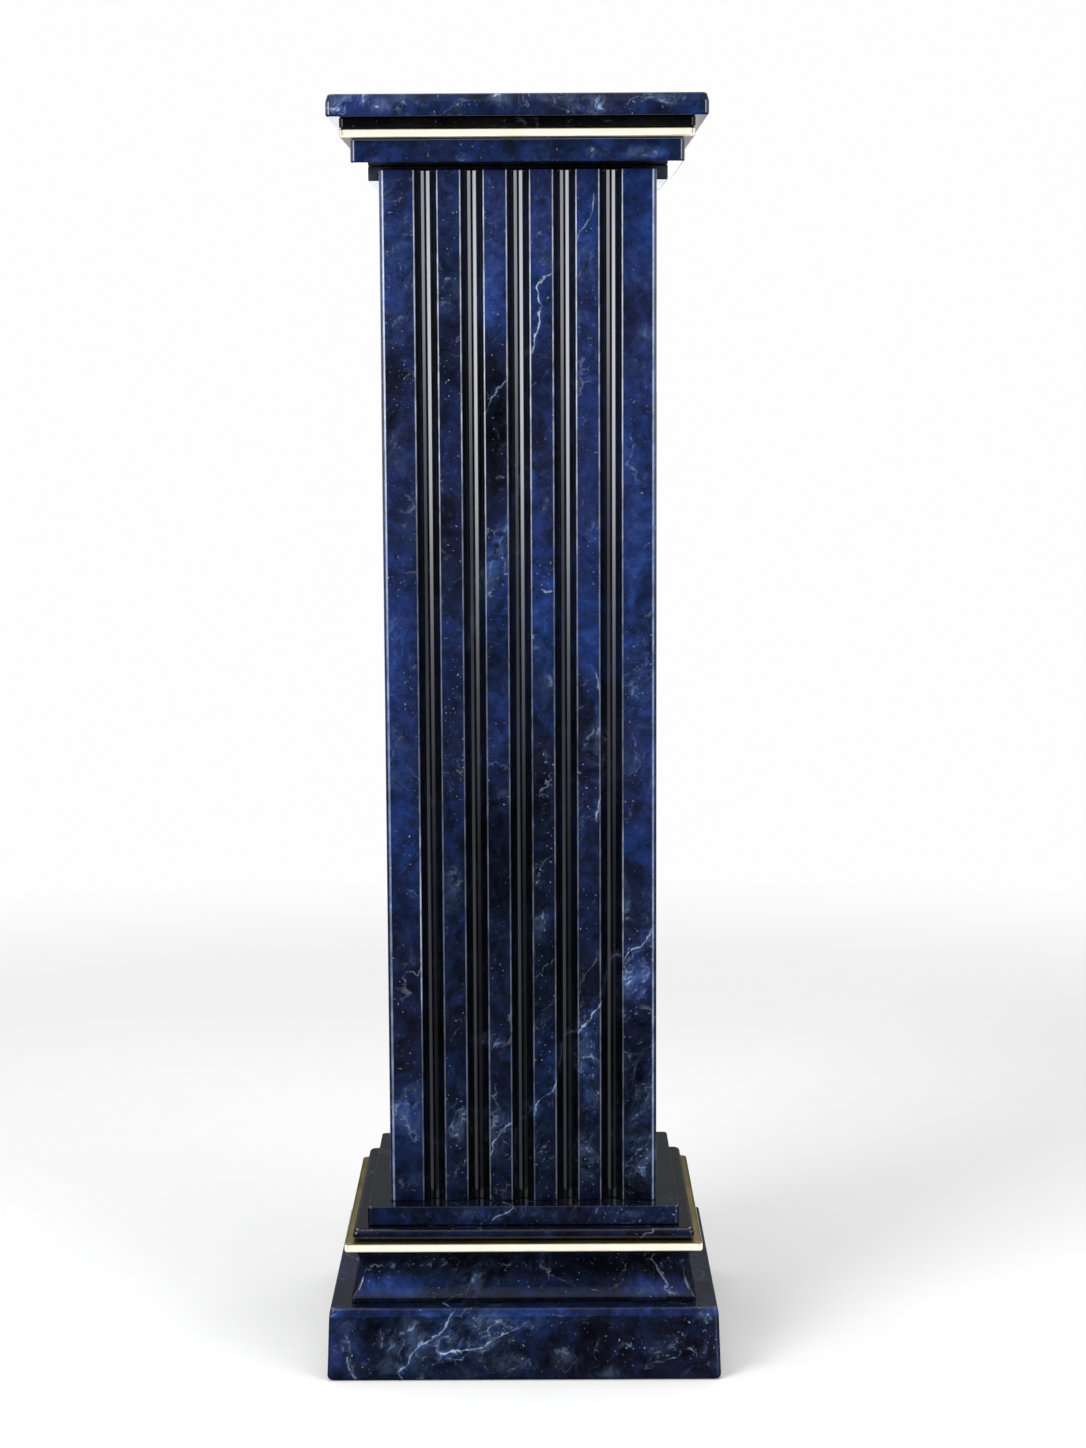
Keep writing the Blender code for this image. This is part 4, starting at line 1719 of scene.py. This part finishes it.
@dataclass
class Studio:
    """The pale floor, the white surroundings, the lamps, the boards and the camera."""

    pieces: list[bpy.types.Object]
    white: float = 0.985
    ambient: float = 0.50
    gilt_glow: float = 1.05
    floor_reach: float = 8.0
    floor_drop: float = 0.0002
    floor_fade: Point = (1.1, 2.4)
    floor_grain: Swirl = Swirl(30.0, 4.0, 0.6)
    floor_greys: Point = (0.895, 0.905)
    gilt_wall: float = 2.4
    gilt_wall_distance: float = 1.7
    gilt_ground: float = 8.0
    gilt_ceiling: float = 3.0
    board_distance: float = 2.5
    board_low: float = -0.7
    board_high: float = 2.5
    lens: float = 79.4915
    eye: Place = (0.01335, -2.60349, 0.80077)
    pitch: float = 8.5954
    yaw: float = -0.21708
    roll: float = -0.31157
    shift: Point = (0.01144, 0.08295)

    def surroundings(self) -> None:
        """Makes the surroundings white to the eye and a softer white to the stone."""
        world = bpy.data.worlds.new("white_room")
        bpy.context.scene.world = world
        world.use_nodes = True
        graph = NodeGraph(world.node_tree)
        seen = graph.add("ShaderNodeLightPath").outputs["Is Camera Ray"]
        level = graph.smooth(seen, 0.0, 1.0, self.ambient, self.white)
        background = graph.fill("ShaderNodeBackground", {"Color": (1.0, 1.0, 1.0, 1.0), "Strength": level})
        graph.end(background, "ShaderNodeOutputWorld")
        world.cycles_visibility.glossy = False

    def floor(self) -> None:
        """Lays a pale floor that turns into the white surroundings further out."""
        reach = self.floor_reach
        mesh = bpy.data.meshes.new("floor")
        corners = [(-reach, -reach, 0), (reach, -reach, 0), (reach, reach, 0), (-reach, reach, 0)]
        mesh.from_pydata(corners, [], [(0, 1, 2, 3)])
        material, graph = new_material("pale_floor")
        place = graph.place()
        grain = graph.noise(place, self.floor_grain).outputs["Fac"]
        darker, paler = ((level, level, level) for level in self.floor_greys)
        grey = graph.ramp(grain, ((0.3, darker), (0.7, paler)))
        matt = graph.fill("ShaderNodeBsdfDiffuse", {"Color": grey})
        blank = graph.fill("ShaderNodeEmission", {"Strength": self.white})
        mix = graph.add("ShaderNodeMixShader")
        graph.plug(graph.smooth(graph.vector("LENGTH", place), *self.floor_fade), mix.inputs[0])
        graph.plug(matt.outputs[0], mix.inputs[1])
        graph.plug(blank.outputs[0], mix.inputs[2])
        graph.end(mix)
        mesh.materials.append(material)
        floor = bpy.data.objects.new("floor", mesh)
        bpy.context.scene.collection.objects.link(floor)
        floor.location.z = -self.floor_drop
        floor.visible_glossy = False

    def lamp(self, name: str, at: Place, aim: Place, size: float, power: float) -> bpy.types.Object:
        """Adds a soft lamp that lights matt surfaces and casts shadows, but isn't mirrored.

        Args:
            name: the lamp's name.
            at: where it hangs.
            aim: what it points at.
            size: its width and height.
            power: its power in watts.

        Returns:
            The lamp.
        """
        light = bpy.data.lights.new(name, "AREA")
        light.shape = "SQUARE"
        light.size = size
        light.energy = power
        lamp = bpy.data.objects.new(name, light)
        bpy.context.scene.collection.objects.link(lamp)
        lamp.location = at
        lamp.rotation_euler = (Vector(aim) - Vector(at)).to_track_quat("-Z", "Y").to_euler()
        lamp.visible_glossy = False
        lamp.visible_camera = False
        return lamp

    def gilt_lamps(self, gilded: bpy.types.Collection) -> None:
        """Rings the column with broad lamps that only the gilt bands mirror.

        Args:
            gilded: the gilt bands.
        """
        wall, away = self.gilt_wall, self.gilt_wall_distance
        middle = (0.0, 0.0, 0.5 * wall)
        places = [
            ((0.0, 0.0, 0.001), (0.0, 0.0, 1.0), self.gilt_ground, 1.0),
            ((0.0, 0.0, 2.6), (0.0, 0.0, 0.0), self.gilt_ceiling, 0.7),
            ((0.0, -away, 0.5 * wall), middle, wall, 1.0),
            ((-away, 0.0, 0.5 * wall), middle, wall, 1.05),
            ((away, 0.0, 0.5 * wall), middle, wall, 0.95),
            ((0.0, away, 1.6), (0.0, 0.0, 1.6), 1.7, 1.0),
        ]
        for number, (at, aim, size, share) in enumerate(places):
            power = self.gilt_glow * share * math.pi * size**2
            lamp = self.lamp(f"gilt_lamp_{number}", at, aim, size, power)
            lamp.visible_glossy = True
            lamp.light_linking.receiver_collection = gilded

    def boards(self, stones: bpy.types.Collection) -> None:
        """Puts up the boards: a pair of tall ones before each face, one overhead and two low ones behind.

        Args:
            stones: the stone pieces.
        """
        soft_ends = ((0.0, 0.0), (0.22, 1.0), (0.85, 1.0), (1.0, 0.3))
        left_levels = (
            (0.0, 0.012), (0.094, 0.016), (0.209, 0.018), (0.284, 0.075), (0.356, 0.30),
            (0.428, 0.82), (0.494, 1.0), (0.556, 0.82), (0.625, 0.70), (1.0, 0.70),
        )
        right_levels = (
            (0.0, 0.12), (0.094, 0.12), (0.209, 0.155), (0.284, 0.14), (0.356, 0.14),
            (0.428, 0.32), (0.494, 0.76), (0.556, 0.95), (0.625, 1.0), (1.0, 1.0),
        )
        tall = [
            ("left_board", (-10.0, -46.0), 7.8, left_levels),
            ("right_board", (10.0, 44.0), 4.2, right_levels),
        ]
        for name, middle in (("left_side", -90.0), ("right_side", 90.0), ("rear", 180.0)):
            for end, sense in (("first", -1.0), ("second", 1.0)):
                span = (middle + 12.0 * sense, middle + 27.0 * sense)
                tall.append((f"{name}_{end}_board", span, 2.6, left_levels))
        for name, span, strength, levels in tall:
            corners = upright(span, self.board_distance, self.board_low, self.board_high)
            Glow(name, corners, strength, levels, soft_ends).build(stones)
        Glow(
            "overhead_board",
            ((-1.6, -3.6, 2.6), (1.6, -3.6, 2.6), (1.6, 1.8, 2.6), (-1.6, 1.8, 2.6)),
            3.0,
            ((0.0, 0.03), (0.26, 0.06), (0.44, 0.09), (0.53, 0.22), (1.0, 0.26)),
        ).build(stones)
        shade = (
            (0.0, 0.9), (0.17, 1.0), (0.21, 1.1), (0.235, 1.4), (0.738, 1.4),
            (0.752, 1.1), (0.765, 0.65), (0.79, 0.35), (1.0, 0.35),
        )
        rear = ((-0.5, 2.6, 0.70), (0.5, 2.6, 0.70), (0.5, 2.6, 1.14), (-0.5, 2.6, 1.14))
        Glow("rear_low_board", rear, 1.0, side_curve=shade).build(stones)
        flag = ((-1.2, 1.3, -0.1), (1.2, 1.3, -0.1), (1.2, 1.3, 0.76), (-1.2, 1.3, 0.76))
        Glow("rear_flag", flag, 0.085).build(stones)

    def camera(self) -> None:
        """Sets the camera where the photograph was taken from."""
        pitch, yaw, roll = (math.radians(a) for a in (self.pitch, self.yaw, self.roll))
        ahead = Vector((math.sin(yaw) * math.cos(pitch), math.cos(yaw) * math.cos(pitch), -math.sin(pitch)))
        right = ahead.cross(Vector((0, 0, 1))).normalized()
        up = right.cross(ahead)
        leaned_right = right * math.cos(roll) + up * math.sin(roll)
        leaned_up = up * math.cos(roll) - right * math.sin(roll)
        turn = Matrix((leaned_right, leaned_up, -ahead)).transposed()
        data = bpy.data.cameras.new("photo_view")
        data.sensor_width = 36.0
        data.lens = self.lens
        data.shift_x, data.shift_y = self.shift
        data.clip_end = 60.0
        data.dof.use_dof = False
        view = bpy.data.objects.new("photo_view", data)
        bpy.context.scene.collection.objects.link(view)
        view.matrix_world = Matrix.Translation(Vector(self.eye)) @ turn.to_4x4()
        bpy.context.scene.camera = view

    def build(self) -> None:
        """Sets the whole studio up."""
        scene = bpy.context.scene
        scene.view_settings.view_transform = "Standard"
        scene.view_settings.look = "None"
        self.surroundings()
        self.floor()
        self.lamp("key_lamp", (-2.0, -2.4, 2.4), (0.0, 0.0, 0.4), 1.5, 70.0)
        self.lamp("fill_lamp", (2.4, -2.6, 1.8), (0.0, 0.0, 0.4), 1.6, 33.0)
        self.lamp("top_lamp", (0.0, -0.35, 3.0), (0.0, -0.1, 0.0), 2.2, 45.0)
        gilded = [piece for piece in self.pieces if piece.name.endswith("_metal")]
        stones = [piece for piece in self.pieces if piece.name.endswith("_stone")]
        self.gilt_lamps(group("gilt_pieces", gilded))
        self.boards(group("stone_pieces", stones))
        self.camera()


def main() -> None:
    """Builds the column's sub-assemblies from the floor up, then the studio."""
    logging.basicConfig(level=logging.INFO, format="%(message)s")
    column: list[bpy.types.Object] = []
    for assembly in (Plinth(), BaseMouldings(), Shaft(), Capital()):
        pieces = assembly.build()
        log.info("%s: %s", type(assembly).__name__, ", ".join(piece.name for piece in pieces))
        column += pieces
    Studio(column).build()


if __name__ == "__main__":
    main()
